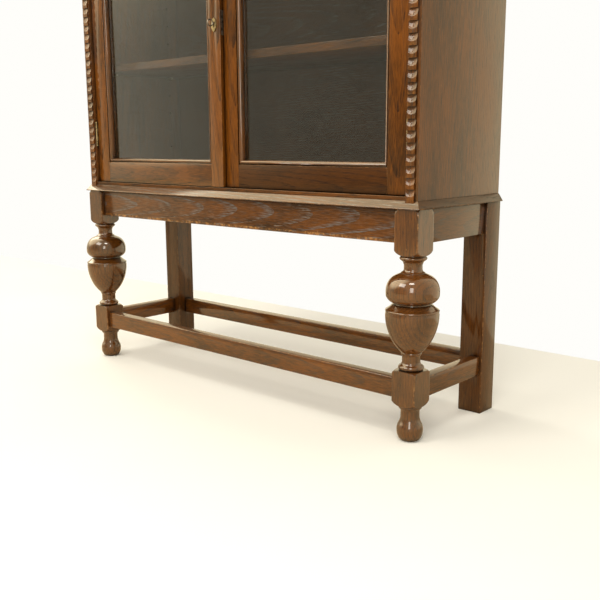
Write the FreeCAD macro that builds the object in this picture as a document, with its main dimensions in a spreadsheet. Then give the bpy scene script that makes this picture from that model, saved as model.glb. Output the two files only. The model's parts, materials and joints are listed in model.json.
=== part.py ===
import FreeCAD, Part
import Sketcher
import os

# Oak bookcase on a stand: a two-door glazed case over cup-and-cover front legs.
# Millimetres; X runs along the front, Y to the back, Z up from the floor.
# The origin lies on the floor under the middle of the whole object.

SIZES = {
    # Stand, over the faces of the legs
    "stand_width": 1117,
    "stand_depth": 326,
    "stand_height": 483,
    "leg_square": 57,
    "apron_height": 69,
    "apron_thickness": 22,
    "front_apron_inset": 10.5,
    "side_apron_inset": 6,
    "back_apron_inset": 8,
    "stretcher_bottom": 91,
    "stretcher_height": 43,
    "stretcher_thickness": 25,
    "front_stretcher_inset": 8,
    "side_stretcher_inset": 6,
    "back_stretcher_inset": 9,
    "tenon_length": 25,
    "tenon_thickness": 9,
    "tenon_shoulder": 7,
    "block_arm": 70,
    "corner_block_height": 45,
    "stand_screw_diameter": 5,
    "stand_screw_reach": 18,
    "stand_screw_setback": 11,
    # Turned front leg
    "foot_base_diameter": 38,
    "foot_diameter": 54,
    "foot_swell": 4.5,
    "foot_waist_height": 34,
    "foot_neck_diameter": 39,
    "foot_neck_height": 60,
    "foot_hollow": 1.6,
    "collar_diameter": 49,
    "collar_height": 5,
    "lower_block_bottom": 75,
    "lower_block_top": 152,
    "lower_shoulder": 13,
    "upper_shoulder": 6,
    "shoulder_swell": 2.2,
    "ring_diameter": 54,
    "ring_height": 11,
    "ring_swell": 3.2,
    "neck_diameter": 38,
    "lower_neck_height": 22.5,
    "neck_hollow": 1.8,
    "bead_diameter": 43,
    "bead_height": 4,
    "bead_swell": 0.8,
    "cup_height": 85.5,
    "cup_belly_diameter": 96.2,
    "cup_belly_height": 41.5,
    "cup_swell": 3.2,
    "cup_side_swell": 1.4,
    "cup_rim_diameter": 110.5,
    "cup_rim_height": 4.5,
    "cup_rim_swell": 1.2,
    "cup_slope_height": 11.5,
    "groove_diameter": 77,
    "groove_height": 2.5,
    "bulb_diameter": 110,
    "bulb_foot_diameter": 82,
    "bulb_foot_height": 18.5,
    "bulb_foot_swell": 3.6,
    "bulb_crown_diameter": 51,
    "bulb_crown_height": 41.5,
    "bulb_crown_swell": 8,
    "flare_height": 8.5,
    "flare_hollow": 1.2,
    "upper_ring_height": 9,
    "upper_ring_neck": 48,
    "upper_cove_height": 6,
    "upper_block_height": 94,
    # Waist moulding
    "case_inset": 6,
    "waist_overhang": 5.5,
    "waist_height": 17,
    "waist_fillet_height": 3.5,
    "waist_fillet_round": 1.2,
    "waist_flat": 1.2,
    # Case
    "case_height": 837,
    "side_thickness": 20,
    "lining_thickness": 9.5,
    "housing_depth": 8,
    "bottom_edge_height": 25,
    "door_stop_height": 6,
    "back_thickness": 6,
    "top_rail_height": 58,
    "top_rail_thickness": 22,
    "top_thickness": 20,
    "top_overhang": 22,
    "top_edge_round": 9,
    "cornice_height": 24,
    "cornice_projection": 15,
    "cornice_fillet": 3,
    "cornice_hollow": 3,
    "shelf_thickness": 19,
    "shelf_setback": 14,
    "shelf_end_gap": 0.75,
    "peg_diameter": 6,
    "peg_seat": 12,
    "peg_reach": 14,
    "peg_inset": 35,
    "peg_first_height": 120,
    "peg_pitch": 50,
    # Carved strips on the front edges of the case
    "strip_inner_fillet": 2.5,
    "strip_width": 20,
    "strip_depth": 4.5,
    "carving_pitch": 22.55,
    "carving_notch": 13,
    "carving_depth": 3.6,
    # Doors
    "door_recess": 8,
    "door_thickness": 24,
    "door_gap": 1.5,
    "meeting_gap": 2,
    "stop_gap": 0.3,
    "left_door_ajar": 1.1,
    "hinge_stile_width": 49,
    "meeting_stile_width": 41,
    "door_top_rail_height": 50,
    "door_bottom_rail_height": 54,
    "door_tenon_length": 28,
    "door_tenon_thickness": 8,
    "door_tenon_shoulder": 8,
    "glass_thickness": 3,
    "glass_gap": 0.5,
    "moulding_width": 10,
    "moulding_quirk": 2.5,
    "moulding_step": 3,
    "moulding_swell": 2.6,
    "bead_strip_depth": 6,
    # Hinges
    "hinge_length": 66,
    "hinge_offset": 130,
    "leaf_thickness": 1.5,
    "leaf_width": 22,
    "knuckle_diameter": 5.5,
    "knuckle_gap": 0.3,
    "knuckle_standoff": 0.25,
    "hinge_pin_diameter": 3,
    "running_clearance": 0.05,
    "hinge_screw_diameter": 3,
    "hinge_screw_head": 6,
    "hinge_screw_length": 7.5,
    "hinge_screw_spacing": 22,
    # Lock on the left door
    "lock_width": 35,
    "lock_height": 56,
    "lock_depth": 12,
    "lock_cover": 3,
    "lock_wall": 1.5,
    "lock_centre_height": 377,
    "lock_bolt_height": 14,
    "lock_bolt_thickness": 4,
    "lock_bolt_length": 24,
    "lock_bolt_rise": 10.5,
    "lock_bolt_setback": 0.2,
    "lock_travel": 7,
    "slide_clearance": 0.3,
    "key_inset": 20,
    "key_shank_diameter": 4.5,
    "key_bow_diameter": 15,
    "key_bow_wire": 3,
    "key_bow_standoff": 11.5,
    "key_bit_length": 7.5,
    "key_bit_width": 2.5,
    "key_bit_depth": 3.6,
    "keyhole_clearance": 0.4,
    "escutcheon_width": 18,
    "escutcheon_height": 32,
    "escutcheon_thickness": 1.5,
    # Bolt on the back of the right door
    "bolt_plate_width": 22,
    "bolt_plate_height": 56,
    "bolt_plate_thickness": 1.5,
    "bolt_plate_lift": 12,
    "bolt_diameter": 6,
    "bolt_keeper_height": 10,
    "bolt_keeper_wall": 2.2,
    "bolt_knob_diameter": 7,
    "bolt_knob_reach": 9,
    "bolt_lift": 2,
    "bolt_travel": 12,
}

SHELF_HOLES = 13
HOLES_BELOW_LOWER_SHELF = 4
HOLES_BELOW_UPPER_SHELF = 9
KNUCKLES = 5
SIDES = {"right": 1, "left": -1}
CUT_PAST = 1.0
OVER_HALF_DIAGONAL = 0.72

doc = FreeCAD.newDocument("Bookcase")
sheet = doc.addObject("Spreadsheet::Sheet", "Sizes")
for row, (alias, number) in enumerate(SIZES.items(), start=1):
    sheet.set(f"A{row}", alias)
    sheet.set(f"B{row}", str(number))
    sheet.setAlias(f"B{row}", alias)
doc.recompute()


class Size:
    """A number together with the sheet formula that gives it."""

    def __init__(self, value, text):
        self.value = value
        self.text = text

    def __add__(self, other):
        other = as_size(other)
        return Size(self.value + other.value, f"({self.text} + {other.text})")

    def __sub__(self, other):
        other = as_size(other)
        return Size(self.value - other.value, f"({self.text} - {other.text})")

    def __mul__(self, other):
        other = as_size(other)
        return Size(self.value * other.value, f"({self.text} * {other.text})")

    def __truediv__(self, other):
        other = as_size(other)
        return Size(self.value / other.value, f"({self.text} / {other.text})")

    def __neg__(self):
        return Size(-self.value, f"(-{self.text})")


def as_size(number):
    if isinstance(number, Size):
        return number
    return Size(float(number), f"({number})")


class Sheet:
    """Every cell of the sheet as an attribute."""

    def __getattr__(self, alias):
        return Size(float(sheet.get(alias)), f"Sizes.{alias}")


S = Sheet()
nodes = []


# Building blocks

def keep(thing, label):
    """Marks a finished sub-part."""
    thing.Label = label
    nodes.append(thing)
    return thing


def bind_base(thing, x, y, z):
    for axis, place in zip("xyz", (x, y, z)):
        thing.setExpression(f"Placement.Base.{axis}", as_size(place).text)


def box(name, x, y, z):
    """A plain block between a low and a high value along each axis."""
    block = doc.addObject("Part::Box", name)
    for prop, (low, high) in zip(("Length", "Width", "Height"), (x, y, z)):
        block.setExpression(prop, (as_size(high) - low).text)
    bind_base(block, x[0], y[0], z[0])
    return block


TURNS = {
    "+x": FreeCAD.Rotation(FreeCAD.Vector(0, 1, 0), 90),
    "-x": FreeCAD.Rotation(FreeCAD.Vector(0, 1, 0), -90),
    "+y": FreeCAD.Rotation(FreeCAD.Vector(1, 0, 0), -90),
    "+z": FreeCAD.Rotation(),
}


def rod(name, base, along, diameter, length):
    """A round bar from its base point along an axis."""
    bar = doc.addObject("Part::Cylinder", name)
    bar.Placement = FreeCAD.Placement(FreeCAD.Vector(), TURNS[along])
    bar.setExpression("Radius", (as_size(diameter) / 2).text)
    bar.setExpression("Height", as_size(length).text)
    bind_base(bar, *base)
    return bar


def taper(name, base, along, start_diameter, end_diameter, length):
    """A cone frustum from its base point along an axis."""
    cone = doc.addObject("Part::Cone", name)
    cone.Placement = FreeCAD.Placement(FreeCAD.Vector(), TURNS[along])
    cone.setExpression("Radius1", (as_size(start_diameter) / 2).text)
    cone.setExpression("Radius2", (as_size(end_diameter) / 2).text)
    cone.setExpression("Height", as_size(length).text)
    bind_base(cone, *base)
    return cone


def fuse(name, things):
    whole = doc.addObject("Part::MultiFuse", name)
    whole.Shapes = things
    whole.Refine = True
    return whole


def group(name, things):
    bundle = doc.addObject("Part::Compound", name)
    bundle.Links = things
    return bundle


def cut(name, base, tools):
    rest = doc.addObject("Part::Cut", name)
    rest.Base = base
    rest.Tool = tools[0] if len(tools) == 1 else fuse(f"{name}_cuts", tools)
    return rest


def common(name, first, second):
    shared = doc.addObject("Part::Common", name)
    shared.Base = first
    shared.Tool = second
    return shared


def span(side, near, far):
    """A range of X, measured outwards from the middle on one side."""
    if side > 0:
        return (as_size(near), as_size(far))
    return (-as_size(far), -as_size(near))


def origin_plane(body, role):
    return next(item for item in body.Origin.OriginFeatures if item.Role == role)


def draw_loop(sketch, corners):
    """One closed outline; a third value is the swell of the arc to the next corner."""
    spots = [FreeCAD.Vector(as_size(c[0]).value, as_size(c[1]).value, 0) for c in corners]
    edges = []
    for index, corner in enumerate(corners):
        start = spots[index]
        end = spots[(index + 1) % len(spots)]
        if len(corner) > 2:
            outward = FreeCAD.Vector(end.y - start.y, start.x - end.x, 0).normalize()
            middle = (start + end) * 0.5 + outward * as_size(corner[2]).value
            edge = sketch.addGeometry(Part.Arc(start, middle, end))
        else:
            edge = sketch.addGeometry(Part.LineSegment(start, end))
        forward = sketch.getPoint(edge, 1).isEqual(start, 1e-6)
        edges.append((edge, 1 if forward else 2))
    for index, (edge, vertex) in enumerate(edges):
        following, next_vertex = edges[(index + 1) % len(edges)]
        joint = Sketcher.Constraint("Coincident", edge, 3 - vertex, following, next_vertex)
        sketch.addConstraint(joint)
        for kind, place in zip(("DistanceX", "DistanceY"), corners[index][:2]):
            place = as_size(place)
            number = sketch.addConstraint(Sketcher.Constraint(kind, -1, 1, edge, vertex, place.value))
            sketch.setExpression(f"Constraints[{number}]", place.text)


def draw(body, name, role, loops, offset=0):
    sketch = body.newObject("Sketcher::SketchObject", name)
    sketch.AttachmentSupport = [(origin_plane(body, role), "")]
    sketch.MapMode = "FlatFace"
    sketch.setExpression("AttachmentOffset.Base.z", as_size(offset).text)
    for corners in loops:
        draw_loop(sketch, corners)
    return sketch


def rectangle(x, y):
    return [(x[0], y[0]), (x[1], y[0]), (x[1], y[1]), (x[0], y[1])]


def padded(name, role, corners, low, high):
    """An outline on an origin plane, thickened between two values along its normal."""
    body = doc.addObject("PartDesign::Body", name)
    facing_front = role == "XZ_Plane"
    offset = -as_size(low) if facing_front else low
    sketch = draw(body, f"{name}_outline", role, [corners], offset)
    pad = body.newObject("PartDesign::Pad", f"{name}_pad")
    pad.Profile = sketch
    pad.setExpression("Length", (as_size(high) - low).text)
    pad.Reversed = facing_front
    return body


# Shared places

bulge = (S.bulb_diameter - S.leg_square) / 2
front = (bulge - S.stand_depth) / 2
back = front + S.stand_depth
half_width = S.stand_width / 2
apron_bottom = S.stand_height - S.apron_height
stretcher_top = S.stretcher_bottom + S.stretcher_height

case_half = half_width - S.case_inset
inner_half = case_half - S.side_thickness
opening_half = inner_half - S.lining_thickness
case_front = front + S.case_inset
panel_front = back - S.back_thickness
case_floor = S.stand_height
case_top = case_floor + S.case_height
opening_bottom = case_floor + S.bottom_edge_height
opening_top = case_top - S.top_rail_height

door_front = case_front + S.door_recess
door_back = door_front + S.door_thickness
stop_line = door_back + S.stop_gap
door_bottom = opening_bottom + S.door_gap
door_top = opening_top - S.door_gap
hinge_edge = opening_half - S.door_gap
meeting_edge = S.meeting_gap / 2
sight_outer = hinge_edge - S.hinge_stile_width
sight_inner = meeting_edge + S.meeting_stile_width
sight_bottom = door_bottom + S.door_bottom_rail_height
sight_top = door_top - S.door_top_rail_height


# Rails with a stub tenon at each end

def rail_along_x(name, half_length, y, z):
    middle = (as_size(y[0]) + y[1]) / 2
    core = box(f"{name}_core", (-half_length, half_length), y, z)
    reach = half_length + S.tenon_length
    tenon = box(
        f"{name}_tenons", (-reach, reach),
        (middle - S.tenon_thickness / 2, middle + S.tenon_thickness / 2),
        (as_size(z[0]) + S.tenon_shoulder, as_size(z[1]) - S.tenon_shoulder),
    )
    return keep(fuse(name, [core, tenon]), name)


def rail_along_y(name, x, y, z):
    middle = (as_size(x[0]) + x[1]) / 2
    core = box(f"{name}_core", x, y, z)
    tenon = box(
        f"{name}_tenons",
        (middle - S.tenon_thickness / 2, middle + S.tenon_thickness / 2),
        (as_size(y[0]) - S.tenon_length, as_size(y[1]) + S.tenon_length),
        (as_size(z[0]) + S.tenon_shoulder, as_size(z[1]) - S.tenon_shoulder),
    )
    return keep(fuse(name, [core, tenon]), name)


apron_z = (apron_bottom, S.stand_height)
stretcher_z = (S.stretcher_bottom, stretcher_top)
leg_inner = half_width - S.leg_square
front_leg_back = front + S.leg_square
back_leg_front = back - S.leg_square

front_apron_y = (front + S.front_apron_inset, front + S.front_apron_inset + S.apron_thickness)
back_apron_y = (back - S.back_apron_inset - S.apron_thickness, back - S.back_apron_inset)
front_stretcher_y = (
    front + S.front_stretcher_inset,
    front + S.front_stretcher_inset + S.stretcher_thickness,
)
back_stretcher_y = (
    back - S.back_stretcher_inset - S.stretcher_thickness,
    back - S.back_stretcher_inset,
)
side_apron_reach = (
    half_width - S.side_apron_inset - S.apron_thickness,
    half_width - S.side_apron_inset,
)
side_stretcher_reach = (
    half_width - S.side_stretcher_inset - S.stretcher_thickness,
    half_width - S.side_stretcher_inset,
)
between_legs = (front_leg_back, back_leg_front)

long_rails = {
    "front_apron": rail_along_x("front_apron", leg_inner, front_apron_y, apron_z),
    "back_apron": rail_along_x("back_apron", leg_inner, back_apron_y, apron_z),
    "front_stretcher": rail_along_x("front_stretcher", leg_inner, front_stretcher_y, stretcher_z),
    "back_stretcher": rail_along_x("back_stretcher", leg_inner, back_stretcher_y, stretcher_z),
}
side_rails = {}
for word, side in SIDES.items():
    side_rails[word] = [
        rail_along_y(f"side_apron_{word}", span(side, *side_apron_reach), between_legs, apron_z),
        rail_along_y(
            f"side_stretcher_{word}", span(side, *side_stretcher_reach), between_legs, stretcher_z,
        ),
    ]


# Legs: the mortises are the rails' own tenons

def turned_profile():
    """Half outline of the front leg from the foot up: radius, height, swell."""
    corner = S.leg_square * OVER_HALF_DIAGONAL
    block_bottom = S.lower_block_bottom
    block_top = S.lower_block_top
    upper_bottom = S.stand_height - S.upper_block_height
    neck = S.neck_diameter / 2
    ring = S.ring_diameter / 2
    ring_root = ring - S.ring_swell
    ring_top = block_top + S.ring_height
    neck_top = ring_top + S.lower_neck_height
    cup_bottom = neck_top + S.bead_height
    rim_bottom = cup_bottom + S.cup_height
    rim_top = rim_bottom + S.cup_rim_height
    groove_bottom = rim_top + S.cup_slope_height
    bulb_bottom = groove_bottom + S.groove_height
    bulb_middle = bulb_bottom + S.bulb_foot_height
    bulb_top = bulb_middle + S.bulb_crown_height
    flare_top = bulb_top + S.flare_height
    upper_ring_bottom = upper_bottom - S.upper_ring_height
    cove_bottom = upper_ring_bottom - S.upper_cove_height
    foot_neck = S.foot_neck_diameter / 2
    collar = S.collar_diameter / 2
    return [
        (0, 0),
        (S.foot_base_diameter / 2, 0, S.foot_swell),
        (S.foot_diameter / 2, S.foot_waist_height / 2, S.foot_swell / 4),
        (S.foot_diameter / 2 - S.foot_swell / 2, S.foot_waist_height, -S.foot_hollow),
        (foot_neck, S.foot_neck_height),
        (foot_neck, block_bottom - S.collar_height),
        (collar, block_bottom - S.collar_height),
        (collar, block_bottom, S.shoulder_swell),
        (corner, block_bottom + S.lower_shoulder),
        (corner, block_top - S.upper_shoulder, S.shoulder_swell),
        (ring_root, block_top, S.ring_swell),
        (ring_root, ring_top),
        (S.bead_diameter / 2, ring_top, -S.neck_hollow),
        (neck, ring_top + S.lower_neck_height / 2),
        (neck, neck_top),
        (S.bead_diameter / 2, neck_top, S.bead_swell),
        (S.bead_diameter / 2, cup_bottom, S.cup_swell),
        (S.cup_belly_diameter / 2, cup_bottom + S.cup_belly_height, S.cup_side_swell),
        (S.cup_rim_diameter / 2, rim_bottom, S.cup_rim_swell),
        (S.cup_rim_diameter / 2 - S.cup_rim_swell, rim_top),
        (S.groove_diameter / 2, groove_bottom),
        (S.groove_diameter / 2, bulb_bottom),
        (S.bulb_foot_diameter / 2, bulb_bottom, S.bulb_foot_swell),
        (S.bulb_diameter / 2, bulb_middle, S.bulb_crown_swell),
        (S.bulb_crown_diameter / 2, bulb_top, -S.flare_hollow),
        (neck, flare_top),
        (neck, cove_bottom, -S.neck_hollow),
        (S.upper_ring_neck / 2, upper_ring_bottom),
        (ring_root, upper_ring_bottom, S.ring_swell),
        (ring_root, upper_bottom, S.shoulder_swell),
        (corner, upper_bottom + S.lower_shoulder),
        (corner, S.stand_height),
        (0, S.stand_height),
    ]


def front_leg(word, side):
    name = f"front_leg_{word}"
    body = doc.addObject("PartDesign::Body", f"{name}_turning")
    profile = draw(body, f"{name}_profile", "XZ_Plane", [turned_profile()])
    turning = body.newObject("PartDesign::Revolution", f"{name}_lathe")
    turning.Profile = profile
    turning.ReferenceAxis = (profile, ["V_Axis"])
    turning.Angle = 360
    waste = S.bulb_diameter
    upper_bottom = S.stand_height - S.upper_block_height
    for block, low, high in (
        ("lower", S.lower_block_bottom, S.lower_block_top),
        ("upper", upper_bottom, S.stand_height),
    ):
        faces = [
            rectangle((-waste, waste), (-waste, waste)),
            rectangle((-S.leg_square / 2, S.leg_square / 2), (-S.leg_square / 2, S.leg_square / 2)),
        ]
        square = draw(body, f"{name}_{block}_square", "XY_Plane", faces, low)
        planing = body.newObject("PartDesign::Pocket", f"{name}_{block}_planing")
        planing.Profile = square
        planing.setExpression("Length", (high - low).text)
        planing.Reversed = True
    bind_base(body, (half_width - S.leg_square / 2) * side, front + S.leg_square / 2, 0)
    rails = [long_rails["front_apron"], long_rails["front_stretcher"], *side_rails[word]]
    return keep(cut(name, body, rails), name)


def back_leg(word, side):
    name = f"back_leg_{word}"
    x = span(side, leg_inner, half_width)
    post = box(f"{name}_post", x, (back_leg_front, back), (0, S.stand_height))
    rails = [long_rails["back_apron"], long_rails["back_stretcher"], *side_rails[word]]
    return keep(cut(name, post, rails), name)


for word, side in SIDES.items():
    front_leg(word, side)
    back_leg(word, side)


# Corner blocks glued in the angles of the aprons, each with a screw up into the case

def corner_block(side, is_front):
    name = f"block_{'front' if is_front else 'back'}_{'right' if side > 0 else 'left'}"
    if is_front:
        leg_face, apron_face, inward = front_leg_back, front_apron_y[1], 1
    else:
        leg_face, apron_face, inward = back_leg_front, back_apron_y[0], -1
    side_face = side_apron_reach[0]
    outline = [
        (leg_inner * side, leg_face),
        (leg_inner * side, apron_face),
        ((leg_inner - S.block_arm) * side, apron_face),
        (side_face * side, leg_face + S.block_arm * inward),
        (side_face * side, leg_face),
    ]
    low = S.stand_height - S.corner_block_height
    spot = (
        (leg_inner - S.stand_screw_setback) * side,
        leg_face + S.stand_screw_setback * inward,
    )
    block = padded(f"{name}_blank", "XY_Plane", outline, low, S.stand_height)
    hole = stand_screw(f"{name}_hole", spot, S.running_clearance * 2)
    return cut(f"{name}_drilled", block, [hole]), spot


def stand_screw(name, spot, room):
    low = S.stand_height - S.corner_block_height
    shank = rod(
        f"{name}_shank", (*spot, low), "+z", S.stand_screw_diameter + room,
        S.corner_block_height + S.stand_screw_reach,
    )
    head = taper(
        f"{name}_head", (*spot, low), "+z", S.stand_screw_diameter * 2 + room,
        S.stand_screw_diameter + room, S.stand_screw_diameter / 2,
    )
    return fuse(name, [shank, head])


block_corners = [corner_block(side, is_front) for side in SIDES.values() for is_front in (True, False)]
keep(group("corner_blocks", [block for block, spot in block_corners]), "corner_blocks")
stand_screws = [
    stand_screw(f"stand_screw_{number}", spot, 0)
    for number, (block, spot) in enumerate(block_corners)
]
keep(group("stand_screws", stand_screws), "stand_screws")


# Waist moulding round the foot of the case, mitred at the front corners

waist_projection = S.case_inset + S.waist_overhang


def placed_section(points, face, outward):
    """Corners of a moulding's section moved to a face, mirrored when outward is -1."""
    return [
        (as_size(face) + as_size(x) * outward, z, *[as_size(swell) * outward for swell in swells])
        for x, z, *swells in points
    ]


def waist_profile(face, outward):
    """Section against a face of the case; outward is the sense of its projection."""
    nose = waist_projection - S.waist_fillet_round
    low = case_floor
    points = [
        (0, low),
        (nose, low),
        (waist_projection, low + S.waist_fillet_round),
        (waist_projection, low + S.waist_fillet_height - S.waist_fillet_round),
        (nose, low + S.waist_fillet_height),
        (S.waist_flat, low + S.waist_height),
        (0, low + S.waist_height),
    ]
    return placed_section(points, face, outward)


def cornice_profile(face, outward):
    high = case_top
    low = case_top - S.cornice_height
    points = [
        (0, low),
        (S.cornice_fillet, low),
        (S.cornice_fillet, low + S.cornice_fillet, -S.cornice_hollow),
        (S.cornice_projection, high - S.cornice_fillet),
        (S.cornice_projection, high),
        (0, high),
    ]
    return placed_section(points, face, outward)


def mitred_surround(name, profile, projection, z):
    """Front and side lengths of a moulding, cut at 45 degrees where they meet."""
    edge_half = case_half + projection
    edge_front = case_front - projection
    run = padded(f"{name}_front_run", "YZ_Plane", profile(case_front, -1), -edge_half, edge_half)
    plan = [
        (-edge_half, edge_front), (edge_half, edge_front),
        (case_half, case_front), (-case_half, case_front),
    ]
    mitre = padded(f"{name}_front_mitre", "XY_Plane", plan, *z)
    keep(common(f"{name}_front", run, mitre), f"{name}_front")
    for word, side in SIDES.items():
        run = padded(
            f"{name}_{word}_run", "XZ_Plane", profile(case_half * side, side), edge_front, back,
        )
        plan = [
            (case_half * side, case_front), (edge_half * side, edge_front),
            (edge_half * side, back), (case_half * side, back),
        ]
        mitre = padded(f"{name}_{word}_mitre", "XY_Plane", plan, *z)
        keep(common(f"{name}_{word}", run, mitre), f"{name}_{word}")


waist_z = (case_floor, case_floor + S.waist_height)
cornice_z = (case_top - S.cornice_height, case_top)
mitred_surround("waist_moulding", waist_profile, waist_projection, waist_z)
mitred_surround("cornice", cornice_profile, S.cornice_projection, cornice_z)


# Hinge parts are shared by the case and the doors, so their places come first

pin_x = opening_half - S.door_gap / 2
pin_y = door_front - S.knuckle_diameter / 2 - S.knuckle_standoff
leaf_y = (door_front + S.slide_clearance, door_front + S.slide_clearance + S.leaf_width)
hinge_bottoms = {
    "lower": door_bottom + S.hinge_offset - S.hinge_length / 2,
    "upper": door_top - S.hinge_offset - S.hinge_length / 2,
}
knuckle_length = (S.hinge_length - S.knuckle_gap * (KNUCKLES - 1)) / KNUCKLES
case_leaf_x = (opening_half, opening_half + S.leaf_thickness)
door_leaf_x = (hinge_edge - S.leaf_thickness, hinge_edge)


def hinge_screw_spots(bottom):
    middle = as_size(bottom) + S.hinge_length / 2
    centre = (leaf_y[0] + leaf_y[1]) / 2
    stagger = S.leaf_width / 5
    return [
        (centre + stagger * ((-1) ** step), middle + S.hinge_screw_spacing * step)
        for step in (-1, 0, 1)
    ]


def hinge_screw(name, face, into, spot, room):
    """A countersunk screw whose head lies flush with a leaf's face."""
    base = (face, *spot)
    head = taper(
        f"{name}_head", base, into, S.hinge_screw_head + room,
        S.hinge_screw_diameter + room, S.leaf_thickness,
    )
    shank = rod(f"{name}_shank", base, into, S.hinge_screw_diameter + room, S.hinge_screw_length)
    return fuse(name, [head, shank])


def leaf_screws(name, word, side, on_door, room):
    """All the screws, or all their holes, of one side's leaves."""
    face = hinge_edge if on_door else opening_half
    into = "+x" if (side > 0) != on_door else "-x"
    return [
        hinge_screw(f"{name}_{word}_{place}_{number}", face * side, into, spot, room)
        for place, bottom in hinge_bottoms.items()
        for number, spot in enumerate(hinge_screw_spots(bottom))
    ]


def hinge_leaf(name, side, bottom, leaf_x, first, hole_screws):
    """A leaf with every other knuckle, starting with the given one."""
    pieces = [box(f"{name}_plate", span(side, *leaf_x), leaf_y, (bottom, bottom + S.hinge_length))]
    for index in range(first, KNUCKLES, 2):
        low = bottom + (knuckle_length + S.knuckle_gap) * index
        pieces.append(rod(
            f"{name}_knuckle_{index}", (pin_x * side, pin_y, low), "+z",
            S.knuckle_diameter, knuckle_length,
        ))
        pieces.append(box(
            f"{name}_tab_{index}", span(side, *leaf_x), (pin_y, leaf_y[0]), (low, low + knuckle_length),
        ))
    bore = rod(
        f"{name}_bore", (pin_x * side, pin_y, bottom), "+z",
        S.hinge_pin_diameter + S.running_clearance * 2, S.hinge_length,
    )
    return cut(name, fuse(f"{name}_blank", pieces), [bore, *hole_screws])


def hinge_leaves(name, word, side, leaf_x, first, on_door):
    holes = leaf_screws(f"{name}_hole", word, side, on_door, S.running_clearance * 2)
    per_hinge = len(holes) // len(hinge_bottoms)
    return [
        hinge_leaf(
            f"{name}_{word}_{place}", side, bottom, leaf_x, first,
            holes[number * per_hinge:(number + 1) * per_hinge],
        )
        for number, (place, bottom) in enumerate(hinge_bottoms.items())
    ]


case_leaves = []
case_screws = []
hinge_pins = []
for word, side in SIDES.items():
    case_leaves += hinge_leaves("case_leaf", word, side, case_leaf_x, 0, False)
    case_screws += leaf_screws("case_screw", word, side, False, 0)
    hinge_pins += [
        rod(
            f"hinge_pin_{word}_{place}", (pin_x * side, pin_y, bottom), "+z",
            S.hinge_pin_diameter, S.hinge_length,
        )
        for place, bottom in hinge_bottoms.items()
    ]
keep(group("hinge_case_leaves", case_leaves), "hinge_case_leaves")
keep(group("hinge_case_screws", case_screws), "hinge_case_screws")
keep(group("hinge_pins", hinge_pins), "hinge_pins")


# Case: sides, linings, bottom, top rail, back and top

shelf_front = stop_line + S.shelf_setback
shelf_y = (shelf_front, panel_front)
peg_lines = (shelf_front + S.peg_inset, panel_front - S.peg_inset)
bolt_x = meeting_edge + S.meeting_stile_width / 2
bolt_y = door_back + S.bolt_plate_thickness + S.bolt_keeper_wall + S.bolt_diameter / 2


def peg_height(hole):
    return case_floor + S.peg_first_height + S.peg_pitch * hole


def bottom_board():
    reach = inner_half + S.housing_depth
    top = opening_bottom + S.door_stop_height
    plank = box("bottom_plank", (-reach, reach), (case_front, panel_front), (case_floor, top))
    rebate = box(
        "bottom_rebate", (-inner_half, inner_half), (case_front - CUT_PAST, stop_line),
        (opening_bottom, top + CUT_PAST),
    )
    bolt_hole = rod(
        "bottom_bolt_hole", (bolt_x, bolt_y, case_floor + S.bottom_edge_height / 2), "+z",
        S.bolt_diameter + S.slide_clearance * 2, S.bottom_edge_height,
    )
    screw_holes = [
        stand_screw(f"bottom_screw_hole_{number}", spot, S.running_clearance * 2)
        for number, (block, spot) in enumerate(block_corners)
    ]
    return keep(cut("bottom_board", plank, [rebate, bolt_hole, *screw_holes]), "bottom_board")


def top_rail():
    reach = inner_half + S.housing_depth
    return keep(box(
        "top_rail", (-reach, reach), (case_front, case_front + S.top_rail_thickness),
        (opening_top, case_top),
    ), "top_rail")


def back_panel():
    reach = inner_half + S.housing_depth
    panel = box("back_panel", (-reach, reach), (panel_front, back), (case_floor, case_top))
    return keep(panel, "back_panel")


case_fillings = [bottom_board(), top_rail(), back_panel()]


def case_side(word, side):
    name = f"case_side_{word}"
    x = span(side, inner_half, case_half)
    board = box(f"{name}_board", x, (case_front, back), (case_floor, case_top))
    into = "+x" if side > 0 else "-x"
    peg_holes = [
        rod(
            f"{name}_hole_{line}_{hole}", (inner_half * side, y, peg_height(hole)), into,
            S.peg_diameter + S.running_clearance * 2, S.peg_seat,
        )
        for line, y in enumerate(peg_lines)
        for hole in range(SHELF_HOLES)
    ]
    drilled = cut(f"{name}_drilled", board, peg_holes)
    return keep(cut(name, drilled, case_fillings), name)


def hanging_strip(word, side):
    """Lining that carries the hinges, let into it with their knuckles."""
    name = f"hanging_strip_{word}"
    plank = box(
        f"{name}_plank", span(side, opening_half, inner_half), (case_front, stop_line),
        (opening_bottom, opening_top),
    )
    knuckle_room = S.knuckle_diameter / 2 - S.door_gap / 2 + S.slide_clearance
    recesses = []
    for place, bottom in hinge_bottoms.items():
        length = (bottom, bottom + S.hinge_length)
        recesses.append(box(
            f"{name}_{place}_leaf_recess", span(side, *case_leaf_x), leaf_y, length,
        ))
        recesses.append(box(
            f"{name}_{place}_knuckle_recess", span(side, opening_half, opening_half + knuckle_room),
            (case_front - CUT_PAST, leaf_y[0]), length,
        ))
    recesses += leaf_screws(f"{name}_pilot", word, side, False, S.running_clearance * 2)
    return keep(cut(name, plank, recesses), name)


for word, side in SIDES.items():
    case_side(word, side)
    hanging_strip(word, side)


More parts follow.
